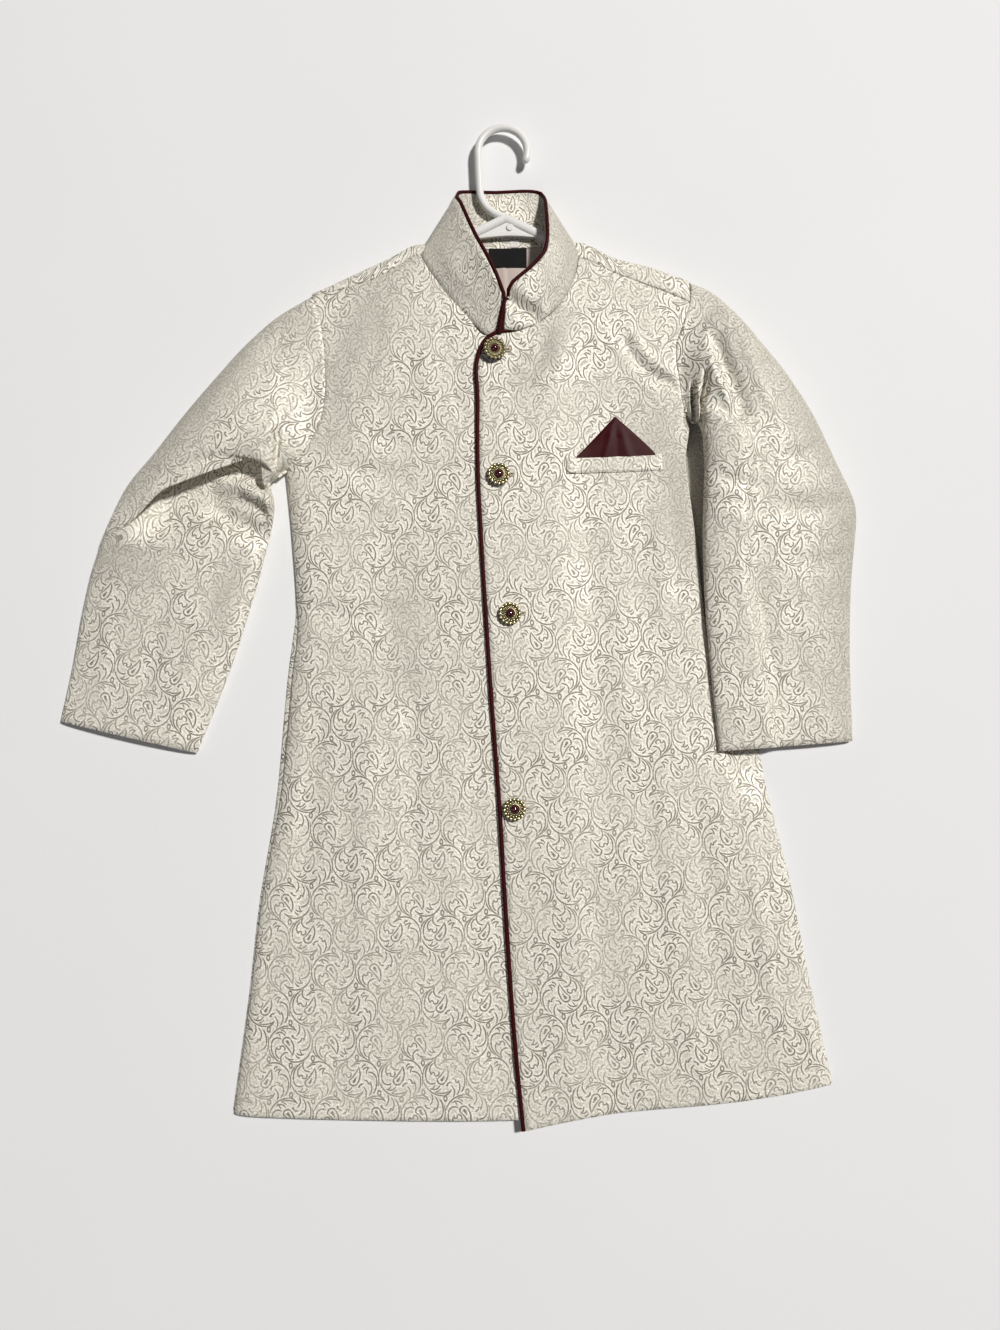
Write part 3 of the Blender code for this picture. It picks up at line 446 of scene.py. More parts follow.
def walled(name, outer, uv, wall, finishes, facing=1, ring=False, lowest=None, turned=0):
    """Shell behind a grid of outer points, with rounded edges; finishes are (outside, inside).

    turned counts the columns along each side, or a ring's first rows, with outer cloth on the inside too.
    """
    normal = facing * grid_normals(outer, ring)
    inner = outer - wall * normal
    middle = outer - wall / 2 * normal
    if lowest is not None:
        inner[..., 2] = np.maximum(inner[..., 2], lowest)
        middle[..., 2] = np.maximum(middle[..., 2], (outer[..., 2] + inner[..., 2]) / 2)
    rows, columns = outer.shape[:2]
    count = rows * columns
    width = uv.shape[1]
    faces, indices, picks = [], [], []
    for i in range(rows - 1):
        for j in range(columns if ring else columns - 1):
            k = (j + 1) % columns
            face = (i * columns + j, i * columns + k, (i + 1) * columns + k, (i + 1) * columns + j)
            faces += [face, tuple(count + corner for corner in face[::-1])]
            near, far = i * width + j, (i + 1) * width + j
            picks += [near, near + 1, far + 1, far, far, far + 1, near + 1, near]
            indices += [0, int(turned <= i if ring else turned <= j < columns - 1 - turned)]
    verts = [outer.reshape(-1, 3), inner.reshape(-1, 3)]
    start = 2 * count
    for line in rim_lines(rows, columns, ring):
        i, j = np.array(line).T
        here = i * columns + j % columns
        inside = np.clip(i, 1, rows - 2) * columns + (j % columns if ring else np.clip(j, 1, columns - 2))
        bulge = middle.reshape(-1, 3)[here] + unit(verts[0][here] - verts[0][inside]) * wall * EDGE_BULGE
        if lowest is not None:
            bulge[:, 2] = np.maximum(bulge[:, 2], EDGE_LOWEST)
        verts.append(bulge[:-1])
        size = len(line) - 1
        for n in range(size):
            a, b, c, d = here[n], here[n + 1], start + (n + 1) % size, start + n
            faces += [(a, b, c, d), (d, c, count + b, count + a)]
            near, far = i[n] * width + j[n], i[n + 1] * width + j[n + 1]
            picks += [near, far, far, near] * 2
            indices += [0, 0]
        start += size
    return finish_mesh(name, np.concatenate(verts), faces, finishes, indices, uv.reshape(-1, 2)[picks])


def loft(start, rings, sides):
    """Faces between rings of points, with a cap at each end."""
    faces = []
    for ring in range(start, start + (rings - 1) * sides, sides):
        for turn in range(sides):
            a, b = ring + turn, ring + (turn + 1) % sides
            faces.append((a, b, b + sides, a + sides))
    last = start + (rings - 1) * sides
    return faces + [tuple(range(start, start + sides)), tuple(range(last, last + sides))]


def tube(name, path, half_width, half_height, finish, sides=16):
    """Capped elliptical bar along a path of points, with its length as the pattern's v."""
    path = np.asarray(path, float)
    along = unit(np.gradient(path, axis=0))
    across = unit(np.cross(along, (0.0, 0.0, 1.0)))
    up = np.cross(across, along)
    turn = np.arange(sides)
    angle = 2 * math.pi * (turn + 0.5) / sides
    wide = np.broadcast_to(half_width, len(path))[:, None] * np.cos(angle)
    high = np.broadcast_to(half_height, len(path))[:, None] * np.sin(angle)
    verts = path[:, None] + across[:, None] * wide[..., None] + up[:, None] * high[..., None]
    coords = np.stack(np.broadcast_arrays(np.abs(turn - sides / 2), run_length(path)[:, None]), axis=2)
    return finish_mesh(name, verts.reshape(-1, 3), loft(0, len(path), sides), [finish],
                       uv=coords.reshape(-1, 2), sharp=60)


def dense(path, step):
    """Path resampled at even steps along its length, through a smooth curve."""
    length = run_length(path)
    at = np.linspace(0, length[-1], max(2, int(length[-1] / step)))
    return np.stack([glide(length, column, at) for column in np.transpose(path)], axis=1)


# ------------------------------------------------------------------ fronts

# inner x, inner y, outer y, drop, sway
UNDER_FRONT = (
    (26, -388.5, -374.5, 3.0, 0.0),     # hem
    (26, -320, -312, 1.0, 0.0),
    (26, -220, -215, 0.0, 0.0),
    (26, -120, -115, 0.0, 0.0),
    (26, -30, -30, 0.0, 0.0),
    (26, 40, 48, 0.0, 0.0),             # top of the side slit
    (26, 105, 112, 0.0, 0.0),
    (26, 165, 150, 0.0, 0.0),
    (26, 205, 177, 0.0, 0.0),           # underarm
    (25, 236, 196, 0.0, 0.0),
    (23, 258, 220, 0.0, 0.0),
    (21, 275, 243, 0.0, 0.0),
    (6, 286, 262, 0.0, 0.0),
    (-15.7, 289.5, 279, 0.0, 0.0),      # neck seam from here
    (-31, 307.5, 294, 1.0, 0.0),
    (-47.7, 327.5, 307, 2.0, 0.0),
    (-59, 344.5, 319, 3.0, 0.0),
    (-70.5, 363, 330, 4.5, 0.0),        # shoulder seam
)
OVER_FRONT = (
    (-8, -396.5, -369, 0.0, 3.0),       # hem
    (-12.5, -318, -322, 0.0, 0.0),
    (-15.6, -215, -222, 0.0, 0.0),
    (-17.4, -120, -118, 0.0, 0.0),
    (-20.6, -30, -30, 0.0, 0.0),
    (-22.4, 40, 48, 0.0, 0.0),
    (-23.8, 105, 105, 0.0, 0.0),
    (-24.5, 160, 145, 0.0, 0.0),
    (-23.5, 205, 177, 0.0, 0.0),        # underarm
    (-22.2, 235, 189.5, 0.0, 0.0),
    (-22.6, 257, 206.3, 0.0, 0.0),
    (-19.6, 272.5, 228, 0.0, 0.0),
    (-12.8, 284.5, 246, 0.0, 0.0),      # rounded top corner
    (-2.5, 289.5, 260, 0.0, 0.0),
    (10, 290.5, 272, 0.0, 0.0),         # neck seam from here
    (27, 296, 282, 0.0, 0.0),
    (42, 304.3, 291.5, 0.0, 0.0),
    (54, 316.5, 298, 0.0, 0.0),
    (64, 334, 305, 0.0, 0.0),
    (71, 353.5, 311.5, 0.0, 0.0),       # shoulder seam
)
UNDER_GRAIN = (-1.2, (-90.3, -198.6))       # turn of the weave, and the middle of one medallion
OVER_GRAIN = (182.2, (170.5, -97.8))
EDGE_STEPS = (17.0, 13.5, 10.5, 8.0, 6.0, 4.2, 2.8, 1.6, 0.7, 0.0)
BEFORE_VALLEY = 48          # columns of a front inside the valley
AFTER_VALLEY = 10           # and outside it
FRONT_ROW = 3.6             # length between its rows
VALLEY_CLEAR = (3.6, 2.6)   # from the valley's middle to the even columns inside and outside it
VALLEY_SLANT = 0.17         # share of a row's rise between its outer end and the valley
VALLEY_ROOM = (0.6, 21)     # least share of a row before the valley, and least width after it
FRONT_SLACK = (0.5, 3)      # size and seed of a front's waves
SLIT_FADE = 9               # width over which they and the creases fade out at its outer edge
HEM_FADE = (-400, 14)       # and the level of the hem, with the length over which they do there
JOIN = (1.4, 0.4)           # it starts to meet the shoulder this far short of the row count, over so many
SINK = (1.6, 2.0)           # where it begins to sink before the seam, and the length over which it does
SEAM_WIDTH = 2.2            # width of the dip along a seam


def even_stops(rows, step):
    """Places along a table at which its sections lie about one step apart."""
    fine = np.linspace(0, len(rows) - 1, 40 * len(rows))
    table = np.array([section(rows, t) for t in fine])
    inner = np.hypot(np.diff(table[:, 0]), np.diff(table[:, 1]))
    outer = np.abs(np.diff(table[:, 2]))
    length = np.concatenate([[0], np.cumsum(np.maximum(inner, outer))])
    return np.interp(np.linspace(0, length[-1], int(length[-1] / step)), length, fine)


def grain(points, turn, start=(0.0, 0.0)):
    """Plan coordinates turned to the weave's own directions, from the middle of a medallion."""
    angle = np.radians(turn)
    x, y = points[..., 0] - start[0], points[..., 1] - start[1]
    return np.stack([x * np.cos(angle) + y * np.sin(angle), y * np.cos(angle) - x * np.sin(angle)], axis=-1)


def column_stops(inner_x, inner_y, outer_x, outer_y, width):
    """Distances of a front's columns along a row, closer together at the valley and the outer edge."""
    reach = (valley_x(outer_y + VALLEY_SLANT * (inner_y - outer_y)) - inner_x) / abs(outer_x - inner_x)
    middle = width * np.clip(reach, VALLEY_ROOM[0], 1 - VALLEY_ROOM[1] / width)
    before, after = VALLEY_CLEAR
    return np.concatenate([
        np.linspace(0, middle - before, BEFORE_VALLEY, endpoint=False),
        middle + np.array(VALLEY_STEPS),
        np.linspace(middle + after, width - EDGE_STEPS[0], AFTER_VALLEY, endpoint=False),
        width - np.array(EDGE_STEPS),
    ])


def front_grid(name, rows, side, height):
    """Fine outer points of a front panel, with its creases."""
    grid = []
    for t in even_stops(rows, FRONT_ROW):
        inner_x, inner_y, outer_y, drop, sway = section(rows, t)
        slit = float(glide(SLIT["y"], SLIT["inset"], outer_y)) if side < 0 else 0.0
        outer_x = side * (float(armhole_x(outer_y, side)) - slit)
        width = math.hypot(outer_x - inner_x, outer_y - inner_y)
        reach = column_stops(inner_x, inner_y, outer_x, outer_y, width) / width
        x = inner_x + (outer_x - inner_x) * reach
        y = inner_y + (outer_y - inner_y) * reach
        y = y - 4 * drop * reach * (1 - reach) + sway * np.sin(2 * math.pi * reach)
        seam = shoulder("seam", x)
        joined = ease((t - len(rows) + JOIN[0]) / JOIN[1])
        y = np.minimum(y + (seam - y) * joined, seam) + SHOULDER_LAP * joined
        z = height(x, y, slit) - SHOULDER_SINK * ease((y - seam + SINK[0]) / SINK[1])
        free = ease((1 - reach) * width / SLIT_FADE) * ease((y - HEM_FADE[0]) / HEM_FADE[1])
        z = z + creases(name, x, y) * free + slack(x, y, *FRONT_SLACK) * free
        if outer_y < UNDERARM:
            z[-1] = FLOOR_TOP
        else:
            z = z - SEAM_DIP * ease(1 - (1 - reach) * width / SEAM_WIDTH)
        grid.append(np.stack([x, y, z], axis=1))
    return np.array(grid)


# ------------------------------------------------------------------ back panel

BACK_LEVELS = (-372, -300, -215, -120, -30, 48, 112, 177, 189, 204, 220, 238, 252, 265, 280, 298)
BACK_EDGE = 166.0
BACK_COLUMNS = (57, 58.5, 60, 61.5, 63, 64.5, 66, 70, 75, 80, 88, 97, 110, 124, 136, 147, 157, 163, 166)
BACK_NECK = (-52, 52, 17)   # first, last and number of the columns between them
BACK_INSET = 2.0
LEVEL_STEP = 0.25           # share of a level from one row to the next
NARROWING = (80, 60)        # half width where the rolled part begins to follow the armhole, and over how much
ROLL_LENGTH = 42.0          # the back's length that rolls over a shoulder
ROLL_ROWS = 26
HALF_TURN = 18              # steps of its fold


def shoulder_path(x):
    """(y, z) points of the back's outer face up to its top edge, at one x."""
    rolled = float(ease((abs(x) - NECK_TURN[0]) / (NECK_TURN[1] - NECK_TURN[0])))
    fold, seam = float(shoulder("fold", x)), float(shoulder("seam", x))
    top = float(over_height(x, seam) if x > 0 else body_height(x, seam))
    depth = min(ROLL, fold - seam - SEAM)
    centre = NECK_BACK + (fold - depth - NECK_BACK) * rolled
    path = [(BACK_LEVELS[-1], 0.0)]
    for k in range(HALF_TURN + 1):
        angle = -math.pi / 2 + math.pi * rolled * k / HALF_TURN
        path.append((centre + depth * rolled * math.cos(angle), top / 2 * (1 + math.sin(angle))))
    path.append((path[-1][0] + (seam + SEAM - centre) * rolled ** 6, path[-1][1]))
    length = run_length(path)
    stops = length[-1] - ROLL_LENGTH + ROLL_LENGTH * np.arange(ROLL_ROWS + 1) / ROLL_ROWS
    y, z = (np.interp(stops, length, column) for column in np.transpose(path))
    return np.stack([y, z - SEAM_DIP * rolled * ease(1 - (length[-1] - stops) / 2.0)], axis=1)


def back_grid():
    """Outer points of the back panel: flat rows, then the rows that roll over the shoulders."""
    half = np.array(BACK_COLUMNS)
    columns = np.concatenate([-half[::-1], np.linspace(*BACK_NECK), half])
    rows = []
    last = len(BACK_LEVELS) - 1
    for y in np.interp(np.arange(0, last + 0.01, LEVEL_STEP), np.arange(last + 1), BACK_LEVELS):
        under_right, under_left = float(armhole_x(y, -1)), float(armhole_x(y, 1))
        if y < UNDERARM:
            under_left -= BACK_INSET
        x = columns * np.where(columns < 0, under_right, under_left) / BACK_EDGE
        rows.append(np.stack([x, np.full(len(x), y), np.zeros(len(x))], axis=1))
    paths = np.array([shoulder_path(x) for x in columns])
    for k in range(paths.shape[1]):
        y, z = paths[:, k].T
        outward = ease((np.abs(columns) - NARROWING[0]) / NARROWING[1])
        narrow = np.where(columns < 0, armhole_x(y, -1), armhole_x(y, 1)) / BACK_EDGE
        rows.append(np.stack([columns * (1 + (narrow - 1) * outward), y, z], axis=1))
    return np.array(rows, float)


# ------------------------------------------------------------------ sleeves

# outer x, outer y, inner x, inner y, crown, follow, tuck, dip
RIGHT_SLEEVE = (
    (-199.6, 315.1, -200.5, 174.5, 20, 0.80, 0, 0),
    (-226, 292, -205, 170.5, 24, 0.60, 1, 0),
    (-252, 264, -209, 167.5, 27, 0.42, 6, 0),
    (-281, 231, -213, 165.5, 28, 0.26, 12, 0),
    (-309, 197, -214, 165.5, 28, 0.12, 17, 0),
    (-336, 165, -211, 167.5, 27, 0.0, 20, 0),
    (-356, 125, -203.5, 177, 25, 0.0, 16, 0),        # edge of the fold at the elbow
    (-357.5, 122, -204, 175, 23, 0.0, 30, 14),       # under the fold
    (-359, 117, -209, 165, 22, 0.0, 11, 16),
    (-362, 109, -206, 149, 21, 0.0, 2, 9),
    (-366, 99, -207.6, 134, 19, 0.0, 0, 1),
    (-371, 82, -215.5, 105, 16.5, 0.0, 0, 0),
    (-378, 54, -229.5, 60, 14, 0.0, 0, 0),
    (-386.5, 14, -251, 1, 11.5, 0.0, 0, 0),
    (-398.5, -33.5, -280.3, -66, 9, 0.0, 0, 0),      # cuff
)
LEFT_SLEEVE = (
    (184, 324.5, 161.5, 207, 20, 0.9, 0, 0),
    (205.3, 303.6, 164.5, 205, 25, 0.7, 0, 0),
    (228, 273.5, 167.5, 203, 28, 0.5, 0, 0),
    (249.3, 242.3, 169.5, 197, 30, 0.3, 0, 0),
    (270, 206, 170.7, 186, 29, 0.15, 0, 0),
    (287, 166, 171, 168, 27, 0.0, 0, 0),
    (303, 121, 169, 138, 24, 0.0, 0, 0),             # elbow
    (300, 90, 166.5, 100, 21, 0.0, 0, 0),
    (295.8, 56, 166, 53, 17, 0.0, 0, 0),
    (291.6, -10, 168.3, -12, 13, 0.0, 0, 0),
    (290.3, -78.5, 172, -82.3, 9.5, 0.0, 0, 0),      # cuff
)
ARMHOLE_ENDS = {"right": (331.0, 178.5), "left": (312.0, 218.0)}
SLEEVE_GRAIN = {
    "sleeve_right": {"row": (0, 7.2, 9.5, 20), "turn": (-30, -28, -13.5, -13.5), "start": (-276, 150)},
    "sleeve_left": {"row": (0, 20), "turn": (-1.0, -1.0), "start": (230, 120)},
}
SLEEVE_OVER_BODY = 6.7      # height of the left sleeve's inner side on the coat
REST_EDGE = (20, 12)        # where that ends beyond the coat's side, and the width over which it does
REST_TOP = (222, 14)        # and its level at the top
SLEEVE_SLACK = (0.7, 8)     # size and seed of its waves
TUCK_START = (0.15, 0.45)
TUCK_END = 0.05
TOP_POINTS = 65
BOTTOM_POINTS = 25
SLEEVE_LENGTH = 430
SLEEVE_ROW = 3.4
FINE_STEPS = 400            # steps for measuring along a sleeve
ARMHOLE_EASE = 2.2          # rows over which a sleeve leaves the coat's height
SEWN_HIGHEST = 17           # most that it takes up of that height
ARMHOLE_CROWN = 16          # crown of a sleeve's first ring
SEAM_START = 0.06           # share of a ring, from its outer side, over which the seam sets in
SEAM_ROWS = 0.12            # rows over which the seam's dip ends
SIDE_CROWD = 0.85           # the further below 1, the more a ring's points crowd at its two sides
EXTRA_ROWS = (0.8, 0.3, 0.12)   # weight of the table's rows, and of closer rings over a first share of them
EDGE_SHARE = 0.35           # height of a sleeve's sides, as a share of its crown
TOP_ROUND = 0.8             # power of the top's curve
INNER_BLUNT = (0.35, 0.6, 0.3)  # how far it falls at the left sleeve's inner side, from and over which share
LEAST_TOP = (2.4, 0.3)      # least height of the top, and the part of its curve over which it sets in
BOTTOM_ROUND = 20           # how soon the underside comes down from the sides
SLEEVE_TURNED = 95          # rows from the armhole past the elbow, where the inside can't be seen


def sleeve_rest(x, y, side):
    """Surface that a sleeve lies on: the table, or the side of the coat."""
    if side < 0:
        return np.zeros_like(x)
    over = SLEEVE_OVER_BODY * ease((REST_EDGE[0] - (x - armhole_x(y, 1))) / REST_EDGE[1])
    return over * ease((REST_TOP[0] - y) / REST_TOP[1])


def armhole_line(s, side):
    """Plan of the armhole from the shoulder fold (s = 0) to its lower end (s = 1)."""
    high, low = ARMHOLE_ENDS["right" if side < 0 else "left"]
    y = np.linspace(high, low, 60)
    x = side * np.concatenate([[SHOULDER["x"][-1]], armhole_x(y, side) + SEAM])
    y = np.concatenate([[float(shoulder("fold", x[0]))], y])
    length = run_length(np.stack([x, y], axis=1))
    return np.interp(s * length[-1], length, x), np.interp(s * length[-1], length, y)


def sleeve_grid(name, rows, side):
    """Rings of outer points from the armhole to the cuff, with the weave's coordinates."""
    top_turn = np.linspace(0, math.pi, TOP_POINTS)
    bottom_turn = np.linspace(math.pi, 2 * math.pi, BOTTOM_POINTS + 2)[1:-1]
    turn = np.concatenate([top_turn, bottom_turn])
    s = 0.5 - 0.5 * np.sign(np.cos(turn)) * np.abs(np.cos(turn)) ** SIDE_CROWD
    is_top = turn <= math.pi + 1e-6
    arm_x, arm_y = armhole_line(s, side)
    end_x, end_y = armhole_line(np.array([0.0, 1.0]), side)
    rows = ((end_x[0], end_y[0], end_x[1], end_y[1], ARMHOLE_CROWN, 1.0, 0, 0), *rows)
    drift_x = arm_x - (end_x[0] + s * (end_x[1] - end_x[0]))
    drift_y = arm_y - (end_y[0] + s * (end_y[1] - end_y[0]))
    tuck_in = ease((s - TUCK_START[0]) / (TUCK_START[1] - TUCK_START[0]))
    tuck_in = tuck_in * ease((1 - s) / TUCK_END) * is_top
    even = np.linspace(0, 1, FINE_STEPS)
    fine = np.linspace(0, len(rows) - 1, FINE_STEPS)
    length = run_length([section(rows, t)[:2] for t in fine])
    steady, extra, share = EXTRA_ROWS
    length = length / length[-1] + even * steady + extra * ease(even / share)
    stops = np.interp(np.linspace(0, length[-1], int(SLEEVE_LENGTH / SLEEVE_ROW)), length, fine)
    blunt, inner_share, inner_ease = INNER_BLUNT
    power = TOP_ROUND - blunt * max(side, 0) * ease((s - inner_share) / inner_ease)
    grid = []
    for t in stops:
        outer_x, outer_y, inner_x, inner_y, crown, follow, tuck, dip = section(rows, t)
        chord = np.array([inner_x - outer_x, inner_y - outer_y])
        back = -side * unit(np.array([-chord[1], chord[0]]))
        x = outer_x + s * chord[0] + follow * drift_x + tuck * tuck_in * back[0]
        y = outer_y + s * chord[1] + follow * drift_y + tuck * tuck_in * back[1]
        rest = sleeve_rest(x, y, side)
        edge = rest + EDGE_SHARE * crown
        rise = np.abs(np.sin(turn)) ** power
        z_top = edge + (rest + crown - edge) * rise - dip * tuck_in
        sewn = body_height(x, y) if side < 0 else over_height(np.minimum(x, valley_x(y) - 2), y)
        at_armhole = (1 - ease(t / ARMHOLE_EASE)) * ease(s / SEAM_START)
        z_top = z_top + (np.minimum(sewn, SEWN_HIGHEST) - z_top) * at_armhole
        z_top = z_top + (creases(name, x, y) + slack(x, y, *SLEEVE_SLACK)) * ease(rise / 0.5)
        z_top = z_top - SEAM_DIP * ease(1 - t / SEAM_ROWS) * ease(s / SEAM_START)
        inward = ease(rise / LEAST_TOP[1])
        z_top = np.maximum(z_top, rest + LEAST_TOP[0] * inward + EDGE_SHARE * crown * (1 - inward))
        z_bottom = rest + (edge - rest) * np.maximum(0, 1 - BOTTOM_ROUND * s * (1 - s)) ** 2
        grid.append(np.stack([x, y, np.where(is_top, z_top, z_bottom)], axis=1))
    grid = np.array(grid)
    turn = np.interp(stops, SLEEVE_GRAIN[name]["row"], SLEEVE_GRAIN[name]["turn"])
    return grid, grain(unrolled(grid), turn[:, None], SLEEVE_GRAIN[name]["start"])


def unrolled(grid):
    """Plan of a sleeve's rings laid out flat, with one more column where each ring closes."""
    closed = np.concatenate([grid, grid[:, :1]], axis=1)
    far = TOP_POINTS - 1
    across = unit(grid[:, far, :2] - grid[:, 0, :2])[:, None]
    real, plan = (run_length(closed[..., :axes].swapaxes(0, 1)).T for axes in (3, 2))
    extra = real - plan
    extra = extra - extra[:, far // 2][:, None]
    flat = closed[..., :2] + across * extra[..., None]
    under = real[:, far + 1:] - real[:, far][:, None]
    flat[:, far + 1:] = flat[:, far][:, None] + across * under[..., None]
    return flat


# ------------------------------------------------------------------ collar

# seam x, seam y, seam z, edge x, edge y, edge z
COLLAR = (
    (-5.5, 293.0, 16.4, 0.4, 320.5, 27),
    (-13.6, 290.4, 15.8, -5.5, 338, 29),
    (-31, 307.9, 15.6, -12.2, 353.5, 29),
    (-47.3, 327.9, 16.0, -21.5, 373, 27),
    (-58.6, 345.0, 16.4, -28.3, 390.5, 24),
    (-67.8, 362.4, 16.8, -34.5, 409.5, 17),
    (-66.3, 373.5, 12.0, -37.5, 417.5, 10),
    (-63, 380.3, 4.5, -35.5, 423, 3.5),
    (-56, 381.7, 0.0, -31, 424.4, 1.4),
    (-35, 381.7, 0.0, -21, 424.0, 1.4),
    (0, 381.7, 0.0, 0, 422.6, 1.4),
    (35, 381.7, 0.0, 24, 422.8, 1.4),
    (57, 382.0, 0.0, 36, 421.5, 1.4),
    (63.5, 380.0, 4.5, 42, 418, 4),
    (66.4, 371.6, 12.0, 44.8, 410.5, 11),
    (69.6, 359.2, 17.0, 45, 400, 18),
    (67.4, 345.6, 18.2, 45, 387, 24),
    (61.5, 329, 18.6, 44.8, 373.5, 27),
    (52.8, 315.6, 18.9, 42, 357.5, 29),
    (41.2, 304.6, 19.2, 36, 349, 30),
    (26.4, 296.4, 19.4, 24.5, 338.5, 30),
    (12, 292.0, 19.6, 12, 329, 29),
    (1.8, 293.0, 19.6, 5.2, 318.5, 27),
)


def collar_grid(steps_per_row, height_steps):
    """Outer points of the collar band, from its seam to its free edge, with its creases."""
    up = np.linspace(0, 1, height_steps + 1)[:, None]
    grid = []
    for t in np.linspace(0, len(COLLAR) - 1, (len(COLLAR) - 1) * steps_per_row + 1):
        row = section(COLLAR, t)
        line = row[:3] + (row[3:] - row[:3]) * up
        line[:, 2] += creases("collar_band", line[:, 0], line[:, 1])
        grid.append(line)
    return np.array(grid)


def collar_edge_line():
    """Middle of the piping: round the collar's free edge, then down the over front's end."""
    grid = collar_grid(2, 4)
    middle = grid - COLLAR_WALL / 2 * grid_normals(grid)
    edge = middle[:, -1]
    along = unit(np.gradient(edge, axis=0))
    away = edge - middle[:, -2]
    away = unit(away - along * np.sum(away * along, axis=1, keepdims=True))
    return np.concatenate([[COLLAR_START], edge + away * (PIPING + GAP), COLLAR_END])


# ------------------------------------------------------------------ trim

PIPING = 1.6                # half width of the collar's piping
EDGE_PIPING = (1.9, 1.6)    # half width and half height of the front's
EDGE_TUCK = 0.1             # how far it is pushed on to the edge
COLLAR_START = (2.2, 316.9, 25.6)
COLLAR_END = (
    (3.4, 317.5, 26.6), (1.6, 311.5, 24.6), (-0.4, 303.5, 22), (-2.0, 294.6, 19.5), (-2.9, 289.6, 18.2),
)
COLLAR_END_WIDTH = (1.5, 1.7, 2.1, 2.4, 2.4)
FRONT_EDGE_END = 14.0       # row of the over front where its piping ends
TAPER = 12.0                # length over which it thins out there

WELT = {"x": (51.5, 135.3), "y": 171.6, "height": 14.4, "wall": 1.2}
SQUARE = {"x": (60.5, 129.5), "peak_x": 95.5, "peak": 34.0, "wall": 0.48}
# Its two pleats and the hollow between them: height, place across, lean up the square and half width
PLEATS = ((0.9, 0.36, 0.12, 0.05), (0.8, 0.66, -0.10, 0.06), (-0.4, 0.52, 0.0, 0.04))
# Buttons: x, y and tilt in degrees
BUTTONS = (
    (-7.6, 275.4, 12.0),
    (-8.4, 165.9, 4.0),
    (-3.6, 43.6, 3.0),
    (-6.5, -125.2, 4.0),
)
BUTTON_RADIUS = 9.75
BUTTON_STAND = 1.0


def front_edge_line():
    """Middle of the piping on the over front, from the hem round the top corner."""
    stops = np.concatenate([np.arange(0, 8, 0.1), np.arange(8, FRONT_EDGE_END + 0.01, 0.06)])
    edge = np.array([section(OVER_FRONT, t)[:2] for t in stops])
    along = unit(np.gradient(edge, axis=0))
    line = edge + np.stack([-along[:, 1], along[:, 0]], axis=1) * (EDGE_PIPING[0] - EDGE_TUCK)
    return np.column_stack([line, body_height(*line.T) + GAP + EDGE_PIPING[1]])


def slab(name, x, y, bottom, top, finish, weave=(0.0,)):
    """Plate over grids of plan points, between two heights or grids of heights."""
    rows, columns = x.shape
    count = rows * columns
    verts = np.concatenate([np.stack(np.broadcast_arrays(x, y, z), axis=2).reshape(-1, 3)
                            for z in (top, bottom)])
    faces = []
    for i in range(rows - 1):
        for a in range(i * columns, (i + 1) * columns - 1):
            face = (a, a + 1, a + columns + 1, a + columns)
            faces += [face, tuple(count + corner for corner in face[::-1])]
    for line in (range(columns), range((rows - 1) * columns, count),
                 range(0, count, columns), range(columns - 1, count, columns)):
        faces += [(a, b, count + b, count + a) for a, b in zip(line, line[1:])]
    return finish_mesh(name, verts, faces, [finish], uv=grain(verts, *weave), sharp=50)


def stands_for(node):
    """Hides the CAD part that a piece replaces."""
    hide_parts(node)


def declare(node):
    """The same for a piece of cloth."""
    stands_for(node)


def cushion_edge(across, along, soft):
    """Height share of a sewn-down strip: 1 inside, falling to 0.25 at its turned edges."""
    edge = np.minimum(np.minimum(across, 1 - across) * soft[0], np.minimum(along, 1 - along) * soft[1])
    return 0.25 + 0.75 * np.sqrt(np.clip(edge, 0, 1))


def pocket_welt(finish):
    """Breast welt: a folded strip of the brocade, stitched down at both ends."""
    across, along = lattice((0, 1, 61), (0, 1, 17))
    x = WELT["x"][0] + across * (WELT["x"][1] - WELT["x"][0])
    y = WELT["y"] + (along - 0.5) * WELT["height"] + 0.25 * np.sin(across * 7)
    bottom = over_height(x, y) + (GAP + 0.2)
    top = bottom + WELT["wall"] * cushion_edge(across, along, (30, 7))
    made = slab("pocket_welt_cloth", x, y, bottom, top, finish, OVER_GRAIN)
    declare("pocket_welt")


def pocket_square(finish):
    """Satin square folded to a point, with two soft pleats that run down into the pocket."""
    across, along = lattice((0, 1, 71), (0, 1, 37))
    left, right = SQUARE["x"]
    peak = (SQUARE["peak_x"] - left) / (right - left)
    rise = np.minimum(np.clip(across / peak, 0, 1), np.clip((1 - across) / (1 - peak), 0, 1))
    rise = np.where(across > peak, rise ** 0.92, rise ** 1.04)
    x = left + across * (right - left)
    y = WELT["y"] + WELT["height"] / 2 - 1.0 + along * (1.6 + SQUARE["peak"] * rise)
    pleat = sum(height * np.exp(-((across - place - lean * along) / half) ** 2)
                for height, place, lean, half in PLEATS)
    edge = np.sqrt(np.clip((1 - along) * 9, 0, 1))
    puff = (0.5 + pleat * (1 - along) ** 0.6 + 0.7 * np.sin(math.pi * along) * rise) * edge
    bottom = over_height(x, y) + (GAP + 0.25)
    top = bottom + SQUARE["wall"] + np.maximum(puff, 0.0)
    made = slab("pocket_square_silk", x, y, bottom, top, finish)
    declare("pocket_square")


# ------------------------------------------------------------------ buttons

